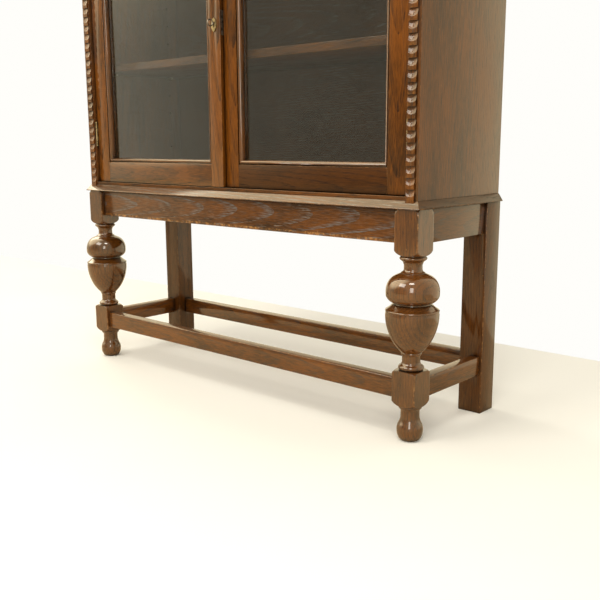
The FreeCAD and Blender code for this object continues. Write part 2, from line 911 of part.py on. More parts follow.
def top_board():
    edge_half = case_half + S.top_overhang
    edge_front = case_front - S.top_overhang
    high = case_top + S.top_thickness
    outline = rectangle((-edge_half, edge_half), (edge_front, back))
    body = padded("top_board", "XY_Plane", outline, case_top, high)
    plank = body.Tip
    doc.recompute()
    rim = [
        f"Edge{number}"
        for number, edge in enumerate(body.Shape.Edges, start=1)
        if edge.BoundBox.ZMin > high.value - 0.01 and edge.BoundBox.YMin < back.value - 0.01
    ]
    rounding = body.newObject("PartDesign::Fillet", "top_board_rounding")
    rounding.Base = (plank, rim)
    rounding.setExpression("Radius", S.top_edge_round.text)
    return keep(body, "top_board")


top_board()


# Carved strips: a plain batten notched at a steady pitch

def carved_strip(word, side):
    name = f"carved_strip_{word}"
    face = case_front
    crest = case_front - S.strip_depth
    waist_top = case_floor + S.waist_height
    slope = (S.waist_height - S.waist_fillet_height) / (
        waist_projection - S.waist_fillet_round - S.waist_flat)
    low = waist_top - (S.strip_depth - S.waist_flat) * slope
    high = case_top - S.cornice_height
    outline = [
        (face, waist_top), (face - S.waist_flat, waist_top), (crest, low), (crest, high), (face, high),
    ]
    inner = opening_half + S.strip_inner_fillet
    x = span(side, inner, inner + S.strip_width)
    body = padded(name, "YZ_Plane", outline, *x)
    floor = crest + S.carving_depth
    ledge = waist_top + S.carving_pitch
    notch = [(crest - CUT_PAST, ledge), (floor, ledge), (crest - CUT_PAST, ledge - S.carving_notch)]
    sketch = draw(body, f"{name}_notch", "YZ_Plane", [notch], x[0])
    gouge = body.newObject("PartDesign::Pocket", f"{name}_gouge")
    gouge.Profile = sketch
    gouge.setExpression("Length", S.strip_width.text)
    gouge.Reversed = True
    row = body.newObject("PartDesign::LinearPattern", f"{name}_row")
    row.Originals = [gouge]
    row.Direction = (sketch, ["V_Axis"])
    count = int((high.value - waist_top.value) / S.carving_pitch.value)
    row.Occurrences = count
    row.setExpression("Length", (S.carving_pitch * (count - 1)).text)
    body.Tip = row
    return keep(body, name)


for word, side in SIDES.items():
    carved_strip(word, side)


# Shelves on pegs

shelf_half = inner_half - S.shelf_end_gap
pegs = []
for level, hole in (("lower", HOLES_BELOW_LOWER_SHELF), ("upper", HOLES_BELOW_UPPER_SHELF)):
    seat = peg_height(hole) + S.peg_diameter / 2
    keep(box(
        f"shelf_{level}", (-shelf_half, shelf_half), shelf_y, (seat, seat + S.shelf_thickness),
    ), f"shelf_{level}")
    for word, side in SIDES.items():
        into = "-x" if side > 0 else "+x"
        pegs += [
            rod(
                f"peg_{level}_{word}_{line}",
                ((inner_half + S.peg_seat) * side, y, peg_height(hole)), into,
                S.peg_diameter, S.peg_seat + S.peg_reach,
            )
            for line, y in enumerate(peg_lines)
        ]
keep(group("shelf_pegs", pegs), "shelf_pegs")


# Doors

def door_rail(name, side, z):
    depth = (door_front + door_back) / 2
    core = box(f"{name}_core", span(side, sight_inner, sight_outer), (door_front, door_back), z)
    tenon = box(
        f"{name}_tenons",
        span(side, sight_inner - S.door_tenon_length, sight_outer + S.door_tenon_length),
        (depth - S.door_tenon_thickness / 2, depth + S.door_tenon_thickness / 2),
        (as_size(z[0]) + S.door_tenon_shoulder, as_size(z[1]) - S.door_tenon_shoulder),
    )
    return fuse(name, [core, tenon])


glass_front = door_back - S.bead_strip_depth - S.glass_thickness
glass_back = door_back - S.bead_strip_depth


def moulding_section(edge, inward, hand):
    """Quirk and ovolo on the frame's edge; inward is towards the glass, hand the drawing's sense."""
    quirk = S.moulding_quirk
    points = [
        (0, door_front + S.moulding_step),
        (quirk, door_front + S.moulding_step),
        (quirk, door_front + S.moulding_step / 2),
        (quirk + S.moulding_step, door_front + S.moulding_step / 2, S.moulding_swell * hand),
        (S.moulding_width, glass_front - S.moulding_step),
        (S.moulding_width, glass_front),
        (0, glass_front),
    ]
    return placed_section(points, edge, inward)


def door_mouldings(name, side):
    """Four mitred lengths planted inside the frame, in front of the glass."""
    wide = S.moulding_width
    outer_x = (sight_inner, sight_outer)
    outer_z = (sight_bottom, sight_top)
    inner_x = (sight_inner + wide, sight_outer - wide)
    inner_z = (sight_bottom + wide, sight_top - wide)
    deep = (door_front, glass_front)
    lengths = []
    for number, inward in enumerate((1, -1)):
        run = padded(
            f"{name}_stile_run_{number}", "XY_Plane",
            moulding_section(outer_x[number] * side, inward * side, 1), *outer_z,
        )
        plan = [
            (outer_x[number] * side, outer_z[0]), (inner_x[number] * side, inner_z[0]),
            (inner_x[number] * side, inner_z[1]), (outer_x[number] * side, outer_z[1]),
        ]
        mitre = padded(f"{name}_stile_mitre_{number}", "XZ_Plane", plan, *deep)
        lengths.append(common(f"{name}_stile_{number}", run, mitre))
        section = [
            (y, z, *swells) for z, y, *swells in moulding_section(outer_z[number], inward, -1)
        ]
        run = padded(f"{name}_rail_run_{number}", "YZ_Plane", section, *span(side, *outer_x))
        plan = [
            (outer_x[0] * side, outer_z[number]), (inner_x[0] * side, inner_z[number]),
            (inner_x[1] * side, inner_z[number]), (outer_x[1] * side, outer_z[number]),
        ]
        mitre = padded(f"{name}_rail_mitre_{number}", "XZ_Plane", plan, *deep)
        lengths.append(common(f"{name}_rail_{number}", run, mitre))
    return group(name, lengths)


def glazing_beads(name, side):
    wide = S.moulding_width
    depth = (glass_back, door_back)
    full = span(side, sight_inner, sight_outer)
    upright = (sight_bottom + wide, sight_top - wide)
    return group(name, [
        box(f"{name}_bottom", full, depth, (sight_bottom, sight_bottom + wide)),
        box(f"{name}_top", full, depth, (sight_top - wide, sight_top)),
        box(f"{name}_inner", span(side, sight_inner, sight_inner + wide), depth, upright),
        box(f"{name}_outer", span(side, sight_outer - wide, sight_outer), depth, upright),
    ])


# Lock in the left door: a mortise lock, its bolt, key and escutcheon

lock_z = door_bottom + S.lock_centre_height
lock_x = (meeting_edge, meeting_edge + S.lock_width)
lock_y = (door_front + S.lock_cover, door_front + S.lock_cover + S.lock_depth)
lock_reach_z = (lock_z - S.lock_height / 2, lock_z + S.lock_height / 2)
lock_inner_y = (lock_y[0] + S.lock_wall, lock_y[1] - S.lock_wall)
lock_bolt_y = (
    lock_inner_y[0] + S.slide_clearance,
    lock_inner_y[0] + S.slide_clearance + S.lock_bolt_thickness,
)
lock_bolt_z = (
    lock_z + S.lock_bolt_rise - S.lock_bolt_height / 2,
    lock_z + S.lock_bolt_rise + S.lock_bolt_height / 2,
)
key_x = meeting_edge + S.key_inset
key_z = lock_z
key_tip = lock_inner_y[1] - S.slide_clearance
LOCK_SIDE = SIDES["left"]


def widened(limits, room):
    return (as_size(limits[0]) - room, as_size(limits[1]) + room)


def keyhole(name, y):
    """Round hole for the shank with a slot below it for the bit."""
    wide = S.key_bit_width / 2 + S.keyhole_clearance
    drop = S.key_bit_length + S.keyhole_clearance
    shank = rod(
        f"{name}_round", (key_x * LOCK_SIDE, y[0], key_z), "+y",
        S.key_shank_diameter + S.keyhole_clearance * 2, as_size(y[1]) - y[0],
    )
    slot = box(
        f"{name}_slot", (key_x * LOCK_SIDE - wide, key_x * LOCK_SIDE + wide), y, (key_z - drop, key_z),
    )
    return fuse(name, [shank, slot])


def lock_case():
    shell = box("lock_shell", span(LOCK_SIDE, *lock_x), lock_y, lock_reach_z)
    hollow = box(
        "lock_hollow", span(LOCK_SIDE, lock_x[0] + S.lock_wall, lock_x[1] - S.lock_wall), lock_inner_y,
        (lock_reach_z[0] + S.lock_wall, lock_reach_z[1] - S.lock_wall),
    )
    mouth = box(
        "lock_mouth", span(LOCK_SIDE, lock_x[0] - CUT_PAST, lock_x[0] + S.lock_wall),
        widened(lock_bolt_y, S.slide_clearance / 2), widened(lock_bolt_z, S.slide_clearance),
    )
    hole = keyhole("lock_keyhole", (lock_y[0], lock_inner_y[0]))
    return cut("lock_case", shell, [fuse("lock_spaces", [hollow, mouth, hole])])


def lock_bolt():
    start = meeting_edge + S.lock_bolt_setback
    return padded(
        "lock_bolt", "XZ_Plane",
        rectangle(span(LOCK_SIDE, start, start + S.lock_bolt_length), lock_bolt_z), *lock_bolt_y,
    )


def lock_key():
    bow_y = door_front - S.key_bow_standoff
    bow = doc.addObject("Part::Torus", "key_bow")
    bow.Placement = FreeCAD.Placement(FreeCAD.Vector(), TURNS["+x"])
    bow.setExpression("Radius1", (S.key_bow_diameter / 2).text)
    bow.setExpression("Radius2", (S.key_bow_wire / 2).text)
    bind_base(bow, key_x * LOCK_SIDE, bow_y, key_z)
    shank_start = bow_y + S.key_bow_diameter / 2
    shank = rod(
        "key_shank", (key_x * LOCK_SIDE, shank_start, key_z), "+y", S.key_shank_diameter,
        key_tip - shank_start,
    )
    bit = box(
        "key_bit",
        (key_x * LOCK_SIDE - S.key_bit_width / 2, key_x * LOCK_SIDE + S.key_bit_width / 2),
        (key_tip - S.key_bit_depth, key_tip), (key_z - S.key_bit_length, key_z),
    )
    return fuse("lock_key", [bow, shank, bit])


def escutcheon():
    """A pointed-oval plate on the face of the stile."""
    wide = S.escutcheon_width / 2
    tall = S.escutcheon_height / 2
    middle = key_z - S.key_bit_length / 2
    swell = wide / 4
    outline = [
        (key_x * LOCK_SIDE, middle - tall, swell),
        (key_x * LOCK_SIDE + wide, middle, swell),
        (key_x * LOCK_SIDE, middle + tall, swell),
        (key_x * LOCK_SIDE - wide, middle, swell),
    ]
    plate = padded(
        "escutcheon_plate", "XZ_Plane", outline, door_front - S.escutcheon_thickness, door_front,
    )
    hole = keyhole("escutcheon_keyhole", (door_front - S.escutcheon_thickness - CUT_PAST, door_front))
    return cut("escutcheon", plate, [hole])


def lock_mortise():
    pocket = box(
        "lock_mortise_pocket", span(LOCK_SIDE, lock_x[0] - CUT_PAST, lock_x[1]), lock_y, lock_reach_z,
    )
    return [pocket, keyhole("lock_mortise_keyhole", (door_front - CUT_PAST, lock_y[0]))]


def lock_keep():
    """Pocket in the right door's meeting stile that takes the thrown bolt."""
    deep = meeting_edge + S.lock_travel + CUT_PAST
    return [box(
        "lock_keep_pocket", (meeting_edge - CUT_PAST, deep),
        widened(lock_bolt_y, S.slide_clearance * 2), widened(lock_bolt_z, S.slide_clearance * 2),
    )]


def stile(name, side, x, rails, cuts):
    plank = box(f"{name}_plank", span(side, *x), (door_front, door_back), (door_bottom, door_top))
    mortised = cut(f"{name}_mortised", plank, rails)
    return cut(name, mortised, cuts) if cuts else mortised


def hinge_recesses(name, word, side):
    recesses = [
        box(
            f"{name}_{place}_recess", span(side, *door_leaf_x), (door_front - CUT_PAST, leaf_y[1]),
            (bottom, bottom + S.hinge_length),
        )
        for place, bottom in hinge_bottoms.items()
    ]
    return recesses + leaf_screws(f"{name}_pilot", word, side, True, S.running_clearance * 2)


def door(word, side):
    name = f"{word}_door"
    rails = [
        door_rail(f"{name}_bottom_rail", side, (door_bottom, sight_bottom)),
        door_rail(f"{name}_top_rail", side, (sight_top, door_top)),
    ]
    hinge_cuts = hinge_recesses(f"{name}_hinge", word, side)
    meeting_cuts = lock_mortise() if side == LOCK_SIDE else lock_keep()
    hinge_stile = stile(f"{name}_hinge_stile", side, (sight_outer, hinge_edge), rails, hinge_cuts)
    meeting_stile = stile(
        f"{name}_meeting_stile", side, (meeting_edge, sight_inner), rails, meeting_cuts,
    )
    pane = rectangle(
        span(side, sight_inner + S.glass_gap, sight_outer - S.glass_gap),
        (sight_bottom + S.glass_gap, sight_top - S.glass_gap),
    )
    leaves = hinge_leaves(f"{name}_leaf", word, side, door_leaf_x, 1, True)
    return {
        f"{name}_bottom_rail": rails[0],
        f"{name}_top_rail": rails[1],
        f"{name}_hinge_stile": hinge_stile,
        f"{name}_meeting_stile": meeting_stile,
        f"{name}_glass": padded(f"{name}_glass", "XZ_Plane", pane, glass_front, glass_back),
        f"{name}_moulding": door_mouldings(f"{name}_moulding", side),
        f"{name}_beads": glazing_beads(f"{name}_beads", side),
        f"{name}_hinge_leaves": group(f"{name}_hinge_leaves", leaves),
        f"{name}_hinge_screws": group(
            f"{name}_hinge_screws", leaf_screws(f"{name}_screw", word, side, True, 0)),
    }


def ajar(label, piece):
    """A piece of the left door, swung open a little about the left hinge pins."""
    piece.Label = f"{label}_shut"
    swung = group(f"{label}_swung", [piece])
    swung.Placement = FreeCAD.Placement(
        FreeCAD.Vector(), FreeCAD.Rotation(FreeCAD.Vector(0, 0, -1), S.left_door_ajar.value))
    swung.setExpression("Placement.Rotation.Angle", S.left_door_ajar.text)
    cosine = f"cos({S.left_door_ajar.text} * 1deg)"
    sine = f"sin({S.left_door_ajar.text} * 1deg)"
    pin_line = (-pin_x).text
    swung.setExpression("Placement.Base.x", f"{pin_line} * (1 - {cosine}) - {pin_y.text} * {sine}")
    swung.setExpression("Placement.Base.y", f"{pin_y.text} * (1 - {cosine}) + {pin_line} * {sine}")
    return swung


for word, side in SIDES.items():
    pieces = door(word, side)
    if side == LOCK_SIDE:
        pieces["lock_case"] = lock_case()
        pieces["lock_bolt"] = lock_bolt()
        pieces["lock_key"] = lock_key()
        pieces["escutcheon"] = escutcheon()
        pieces = {label: ajar(label, piece) for label, piece in pieces.items()}
    for label, piece in pieces.items():
        keep(piece, label)


# Bolt on the back of the right door, shot down into the bottom board

def bolt_plate():
    low = opening_bottom + S.door_stop_height + S.bolt_plate_lift
    high = low + S.bolt_plate_height
    wide = S.bolt_plate_width / 2
    keeper = S.bolt_diameter / 2 + S.bolt_keeper_wall
    plate_y = (door_back, door_back + S.bolt_plate_thickness)
    plate = box("bolt_plate_sheet", (bolt_x - wide, bolt_x + wide), plate_y, (low, high))
    keeper_y = (plate_y[1], bolt_y + keeper)
    keepers = [
        box(f"bolt_keeper_{place}", (bolt_x - keeper, bolt_x + keeper), keeper_y, z)
        for place, z in (
            ("lower", (low, low + S.bolt_keeper_height)),
            ("upper", (high - S.bolt_keeper_height, high)),
        )
    ]
    bore = rod(
        "bolt_bore", (bolt_x, bolt_y, low), "+z",
        S.bolt_diameter + S.running_clearance * 2, S.bolt_plate_height,
    )
    return cut("bolt_plate", fuse("bolt_plate_blank", [plate, *keepers]), [bore])


def bolt_rod():
    low = opening_bottom + S.door_stop_height + S.bolt_lift
    high = opening_bottom + S.door_stop_height + S.bolt_plate_lift + S.bolt_plate_height
    bar = rod("bolt_bar", (bolt_x, bolt_y, low), "+z", S.bolt_diameter, high - low)
    knob_z = high - S.bolt_plate_height / 2 + S.bolt_travel / 2
    knob = rod(
        "bolt_knob", (bolt_x, bolt_y, knob_z), "+y", S.bolt_knob_diameter, S.bolt_knob_reach,
    )
    return fuse("bolt_rod", [bar, knob])


keep(bolt_plate(), "bolt_plate")
keep(bolt_rod(), "bolt_rod")


doc.recompute()
faults = [item.Label for item in doc.Objects if {"Invalid", "Error"} & set(item.State)]
for node in nodes:
    shape = node.Shape
    if shape.isNull() or not shape.isValid() or shape.Volume <= 0:
        faults.append(f"shape of {node.Label}")
if faults:
    raise RuntimeError("faulty objects: " + ", ".join(faults))

os.makedirs("parts", exist_ok=True)
for node in nodes:
    node.Shape.exportStep(f"parts/{node.Label}.step")
print(f"{len(nodes)} sub-parts, {sum(len(node.Shape.Solids) for node in nodes)} solids")
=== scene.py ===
import json
import math

import bmesh
import bpy
import numpy as np
from mathutils import Matrix, Vector


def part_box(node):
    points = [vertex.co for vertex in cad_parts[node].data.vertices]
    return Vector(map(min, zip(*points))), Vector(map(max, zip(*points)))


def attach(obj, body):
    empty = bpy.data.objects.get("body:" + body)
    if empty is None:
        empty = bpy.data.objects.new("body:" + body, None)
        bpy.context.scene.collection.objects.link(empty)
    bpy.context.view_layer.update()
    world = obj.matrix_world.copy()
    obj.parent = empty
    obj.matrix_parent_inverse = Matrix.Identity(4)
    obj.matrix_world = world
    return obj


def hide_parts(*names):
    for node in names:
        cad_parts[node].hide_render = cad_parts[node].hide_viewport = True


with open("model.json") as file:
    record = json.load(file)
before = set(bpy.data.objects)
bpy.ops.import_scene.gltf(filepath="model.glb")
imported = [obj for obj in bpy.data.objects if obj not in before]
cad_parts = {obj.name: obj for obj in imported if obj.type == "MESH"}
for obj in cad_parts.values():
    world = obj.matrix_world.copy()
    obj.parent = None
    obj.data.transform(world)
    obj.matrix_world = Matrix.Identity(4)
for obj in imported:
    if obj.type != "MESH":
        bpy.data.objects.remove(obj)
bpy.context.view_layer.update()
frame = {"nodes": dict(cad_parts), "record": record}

MM = 0.001


# Front legs: each is one square of oak, turned to a ball foot, cup and covered bulb,
# with two blocks left square where the rails are tenoned in.
# Stained dark and varnished, so the turnings shine while the hollows stay dull, darkened further by painted
# shade.

def linear(hex_colour):
    """A six-digit sRGB colour as linear red, green, blue and alpha."""
    parts = [int(hex_colour[i:i + 2], 16) / 255 for i in (0, 2, 4)]
    return [p / 12.92 if p <= 0.04045 else ((p + 0.055) / 1.055) ** 2.4 for p in parts] + [1.0]


def add(tree, kind, inputs=None, **settings):
    """Adds a node: settings are its own properties, inputs are values or sockets to link."""
    made = tree.nodes.new(kind)
    for name, value in settings.items():
        setattr(made, name, value)
    for socket, value in (inputs or {}).items():
        target = made.inputs[socket]
        if isinstance(value, bpy.types.NodeSocket):
            tree.links.new(value, target)
        else:
            target.default_value = value
    return made


def fresh_material(name):
    """An empty node material with its output node."""
    material = bpy.data.materials.new(name)
    material.use_nodes = True
    material.node_tree.nodes.clear()
    return material, add(material.node_tree, "ShaderNodeOutputMaterial")


# how far streaks and growth rings are drawn out along the grain
GRAIN_STRETCH = 0.07
HEART_STRETCH = 0.16
CLOUD_STRETCH = 0.35


def stained_oak(name, along, dark, brown, orange):
    """Plain-sawn oak under brown spirit stain and a worn gloss varnish.

    The eye gets arched figure, dark streaks, short open pores, cloudy stain and rubbed pale edges.
    Attributes of the piece: board (its place in the log), tone (orange share of the stain),
    limed (pale share of the pores), gloss (how much varnish is left) and worn (rubbed faces)."""
    material, output = fresh_material(name)
    tree = material.node_tree
    place = add(tree, "ShaderNodeTexCoord").outputs["Object"]
    board = add(tree, "ShaderNodeAttribute", attribute_name="board").outputs["Vector"]
    tone = add(tree, "ShaderNodeAttribute", attribute_name="tone").outputs["Fac"]
    limed = add(tree, "ShaderNodeAttribute", attribute_name="limed").outputs["Fac"]
    worn = add(tree, "ShaderNodeAttribute", attribute_name="worn").outputs["Fac"]
    gloss = add(tree, "ShaderNodeAttribute", attribute_name="gloss").outputs["Fac"]
    log = add(tree, "ShaderNodeVectorMath", {0: place, 1: board}, operation="ADD").outputs[0]
    stretch = [GRAIN_STRETCH if axis == along else 1.0 for axis in "XYZ"]
    taper = [HEART_STRETCH if axis == along else 1.0 for axis in "XYZ"]
    tilt = {"X": (0.0, 0.12, 0.30), "Y": (0.12, 0.0, 0.30), "Z": (0.30, 0.12, 0.0)}[along]
    fibre = add(tree, "ShaderNodeMapping", {"Vector": log, "Scale": stretch}).outputs[0]
    heart = add(tree, "ShaderNodeMapping", {"Vector": log, "Scale": taper, "Rotation": tilt}).outputs[0]

    # growth rings about 6 mm apart, drawn coarser than life so that they show
    ring_spacing = 6 * MM
    rings = add(tree, "ShaderNodeTexWave", {
        "Vector": heart, "Scale": math.tau / 20 / ring_spacing, "Distortion": 5.0, "Detail": 3.0,
        "Detail Scale": 0.12, "Detail Roughness": 0.6,
    }, wave_type="RINGS", rings_direction=along, wave_profile="SAW").outputs["Fac"]
    # streaks and runs of pores about 2 mm wide and 30 mm long
    streak = add(tree, "ShaderNodeTexNoise", {
        "Vector": fibre, "Scale": 0.55 / MM, "Detail": 4.0, "Roughness": 0.72,
    }).outputs["Fac"]
    pore_noise = add(tree, "ShaderNodeTexNoise", {
        "Vector": fibre, "Scale": 0.5 / MM, "Detail": 2.0, "Roughness": 0.6,
    }).outputs["Fac"]
    # stain clouds about 80 mm across
    cloud = add(tree, "ShaderNodeTexNoise", {
        "Vector": add(tree, "ShaderNodeMapping", {
            "Vector": log, "Scale": [CLOUD_STRETCH if axis == along else 1.0 for axis in "XYZ"],
        }).outputs[0],
        "Scale": 1 / (80 * MM), "Detail": 5.0, "Roughness": 0.6,
    }).outputs["Fac"]

    early = add(tree, "ShaderNodeMapRange", {
        "Value": rings, "From Min": 0.55, "From Max": 1.0,
    }, interpolation_type="SMOOTHSTEP").outputs[0]
    pore_cut = add(tree, "ShaderNodeMapRange", {
        "Value": pore_noise, "From Min": 0.52, "From Max": 0.61,
    }, interpolation_type="SMOOTHSTEP").outputs[0]
    ring_share = add(tree, "ShaderNodeMapRange", {"Value": early, "To Min": 0.18, "To Max": 1.0}).outputs[0]
    pores = add(tree, "ShaderNodeMath", {0: pore_cut, 1: ring_share}, operation="MULTIPLY").outputs[0]

    depth = add(tree, "ShaderNodeMath", {0: streak, 1: 0.55, 2: add(tree, "ShaderNodeMath", {
        0: cloud, 1: 0.45,
    }, operation="MULTIPLY").outputs[0]}, operation="MULTIPLY_ADD").outputs[0]
    brown_share = add(tree, "ShaderNodeMapRange", {
        "Value": depth, "From Min": 0.26, "From Max": 0.62,
    }, interpolation_type="SMOOTHSTEP").outputs[0]
    # pieces stained for longer show less of the brown
    stain = add(tree, "ShaderNodeMapRange", {
        "Value": tone, "From Max": 0.5, "To Min": 0.35, "To Max": 1.0,
    }).outputs[0]
    ground_share = add(tree, "ShaderNodeMath", {0: brown_share, 1: stain}, operation="MULTIPLY").outputs[0]
    ground = add(tree, "ShaderNodeMix", {
        0: ground_share, 6: linear(dark), 7: linear(brown),
    }, data_type="RGBA").outputs[2]
    warm_share = add(tree, "ShaderNodeMath", {
        0: tone, 1: add(tree, "ShaderNodeMapRange", {
            "Value": depth, "From Min": 0.38, "From Max": 0.68,
        }, interpolation_type="SMOOTHSTEP").outputs[0],
    }, operation="MULTIPLY").outputs[0]
    warm = add(tree, "ShaderNodeMix", {
        0: warm_share, 6: ground, 7: linear(orange),
    }, data_type="RGBA").outputs[2]
    figure_share = add(tree, "ShaderNodeMath", {0: early, 1: 0.30}, operation="MULTIPLY").outputs[0]
    figured = add(tree, "ShaderNodeMix", {
        0: figure_share, 6: warm, 7: linear(dark),
    }, data_type="RGBA").outputs[2]
    pore_colour = add(tree, "ShaderNodeMix", {
        0: limed, 6: linear("170b05"), 7: linear("8c8073"),
    }, data_type="RGBA").outputs[2]
    pored_share = add(tree, "ShaderNodeMath", {0: pores, 1: 0.75}, operation="MULTIPLY").outputs[0]
    pored = add(tree, "ShaderNodeMix", {
        0: pored_share, 6: figured, 7: pore_colour,
    }, data_type="RGBA").outputs[2]

    # lime left by an old cleaning fills the open bands between the rings
    lime_cut = add(tree, "ShaderNodeMapRange", {
        "Value": pore_noise, "From Min": 0.36, "From Max": 0.58,
    }, interpolation_type="SMOOTHSTEP").outputs[0]
    lime_band = add(tree, "ShaderNodeMath", {0: early, 1: lime_cut}, operation="MULTIPLY").outputs[0]
    lime_left = add(tree, "ShaderNodeMapRange", {
        "Value": cloud, "From Min": 0.40, "From Max": 0.55,
    }, interpolation_type="SMOOTHSTEP").outputs[0]
    lime_kept = add(tree, "ShaderNodeMath", {0: lime_left, 1: limed}, operation="MULTIPLY").outputs[0]
    lime_share = add(tree, "ShaderNodeMath", {0: lime_band, 1: lime_kept}, operation="MULTIPLY").outputs[0]
    pored = add(tree, "ShaderNodeMix", {
        0: lime_share, 6: pored, 7: linear("5f5c5a"),
    }, data_type="RGBA").outputs[2]

    # rubbed arrises, patchy over about 10 mm, and nicks of a millimetre or two
    rub_noise = add(tree, "ShaderNodeTexNoise", {
        "Vector": log, "Scale": 1 / (10 * MM), "Detail": 5.0, "Roughness": 0.65,
    }).outputs["Fac"]
    rub = add(tree, "ShaderNodeMath", {
        0: worn, 1: add(tree, "ShaderNodeMapRange", {
            "Value": rub_noise, "From Min": 0.48, "From Max": 0.64, "To Max": 0.55,
        }).outputs[0],
    }, operation="MULTIPLY").outputs[0]
    nick_cell = add(tree, "ShaderNodeTexVoronoi", {"Vector": log, "Scale": 1 / (30 * MM)})
    nick = add(tree, "ShaderNodeMapRange", {
        "Value": nick_cell.outputs["Distance"], "From Min": 0.045, "From Max": 0.02, "To Max": 0.6,
    }).outputs[0]
    few = add(tree, "ShaderNodeMath", {
        0: add(tree, "ShaderNodeSeparateColor", {0: nick_cell.outputs["Color"]}).outputs[0], 1: 0.78,
    }, operation="GREATER_THAN").outputs[0]
    nicks = add(tree, "ShaderNodeMath", {0: nick, 1: few}, operation="MULTIPLY").outputs[0]
    bare = add(tree, "ShaderNodeMath", {0: rub, 1: nicks}, operation="MAXIMUM").outputs[0]
    rubbed = add(tree, "ShaderNodeMix", {
        0: bare, 6: pored, 7: linear("a8743c"),
    }, data_type="RGBA").outputs[2]
    # painted shade: the colour darkens towards near-black in quirks and corners a few millimetres deep, found
    # by ambient occlusion
    hollow = add(tree, "ShaderNodeAmbientOcclusion", {"Distance": 12 * MM}, samples=6).outputs["AO"]
    painted_hollow_shade = add(tree, "ShaderNodeMapRange", {
        "Value": hollow, "From Min": 0.30, "From Max": 0.88, "To Min": 0.90, "To Max": 0.0,
    }).outputs[0]
    colour = add(tree, "ShaderNodeMix", {
        0: painted_hollow_shade, 6: rubbed, 7: linear("140b05"),
    }, data_type="RGBA").outputs[2]

    dull = add(tree, "ShaderNodeMapRange", {
        "Value": cloud, "From Min": 0.3, "From Max": 0.7, "To Min": 0.28, "To Max": 0.44,
    }).outputs[0]
    roughness = add(tree, "ShaderNodeMath", {0: pores, 1: 0.25, 2: dull}, operation="MULTIPLY_ADD").outputs[0]
    relief = add(tree, "ShaderNodeMath", {0: streak, 1: 0.35, 2: add(tree, "ShaderNodeMath", {
        0: pores, 1: -1.0,
    }, operation="MULTIPLY").outputs[0]}, operation="MULTIPLY_ADD").outputs[0]
    bump = add(tree, "ShaderNodeBump", {
        "Height": relief, "Strength": 0.30, "Distance": 0.5 * MM,
    }).outputs[0]
    varnish = add(tree, "ShaderNodeBsdfPrincipled", {
        "Base Color": colour, "Roughness": roughness, "Normal": bump, "Specular IOR Level": 0.1,
        "Coat Weight": gloss, "Coat Roughness": 0.09, "Coat IOR": 1.85,
    })
    tree.links.new(varnish.outputs[0], output.inputs["Surface"])
    return material


OAK_COLOURS = {"dark": "1e0e03", "brown": "613609", "orange": "904f09"}
oak = {
    "X": stained_oak("stained_oak_along_the_front", "X", **OAK_COLOURS),
    "Y": stained_oak("stained_oak_front_to_back", "Y", **OAK_COLOURS),
    "Z": stained_oak("stained_oak_upright", "Z", **OAK_COLOURS),
}

bodies = frame["record"]["behaviour"]["bodies"]
body_of = {node: body for body, members in bodies.items() for node in members}
boards_cut = []
# where the heart of the log lies from the middle of a board, in mm
HEART_ALONG = 160
HEART_BEHIND = 45
HEART_BEHIND_STEP = 20
HEART_ASIDE = 18
SHARP_FOLD = math.radians(34)


def finish_wood(piece, node, grain, tone, limed, gloss, worn=None):
    """Gives a wooden piece its own board of the log and its stain, and sets it in the node's place.

    The board is plain sawn: the heart of the log lies behind its wide face, off the middle."""
    mesh = piece.data
    count = len(mesh.vertices)
    spots = np.empty(count * 3)
    mesh.vertices.foreach_get("co", spots)
    low, high = spots.reshape(-1, 3).min(axis=0), spots.reshape(-1, 3).max(axis=0)
    boards_cut.append(node)
    number = len(boards_cut)
    along = "XYZ".index(grain)
    thin, wide = sorted((axis for axis in range(3) if axis != along), key=lambda axis: high[axis] - low[axis])
    heart = [0.0, 0.0, 0.0]
    heart[along] = HEART_ALONG * math.sin(1.7 * number) * MM
    heart[thin] = (HEART_BEHIND + HEART_BEHIND_STEP * (number % 3)) * MM
    heart[wide] = HEART_ASIDE * math.sin(2.4 * number) * MM
    shift = [float(offset - (a + b) / 2) for offset, a, b in zip(heart, low, high)]
    mesh.attributes.new("board", "FLOAT_VECTOR", "POINT").data.foreach_set("vector", shift * count)
    for label, value in (("tone", tone), ("limed", limed), ("gloss", gloss)):
        mesh.attributes.new(label, "FLOAT", "POINT").data.foreach_set("value", [value] * count)
    if worn is None:
        worn = [0.0] * len(mesh.polygons)
    mesh.attributes.new("worn", "FLOAT", "FACE").data.foreach_set("value", worn)
    mesh.polygons.foreach_set("use_smooth", [True] * len(mesh.polygons))
    mesh.set_sharp_from_angle(angle=SHARP_FOLD)
    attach(piece, body_of[node])
    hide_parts(node)


def link(name, mesh):
    """A new object in the scene for a mesh."""
    piece = bpy.data.objects.new(name, mesh)
    bpy.context.scene.collection.objects.link(piece)
    return piece


def arc(start, end, swell, steps=8):
    """Points from start up to end on an arc whose middle stands proud of the chord by swell."""
    (r0, z0), (r1, z1) = start, end
    length = math.hypot(r1 - r0, z1 - z0)
    out = ((z1 - z0) / length, -(r1 - r0) / length)
    points = []
    for i in range(steps):
        t = i / steps
        rise = 4 * t * (1 - t) * swell
        points.append((r0 + (r1 - r0) * t + out[0] * rise, z0 + (z1 - z0) * t + out[1] * rise))
    return points


LEG_SQUARE = 57.0
LEG_HALF = LEG_SQUARE / 2
LEG_OUTER = 558.5
BLOCK_CORNER = 1.6
BLOCKS = ((74.9, 152.1), (388.9, 484.0))
TURN_CORNER = LEG_SQUARE * 0.72
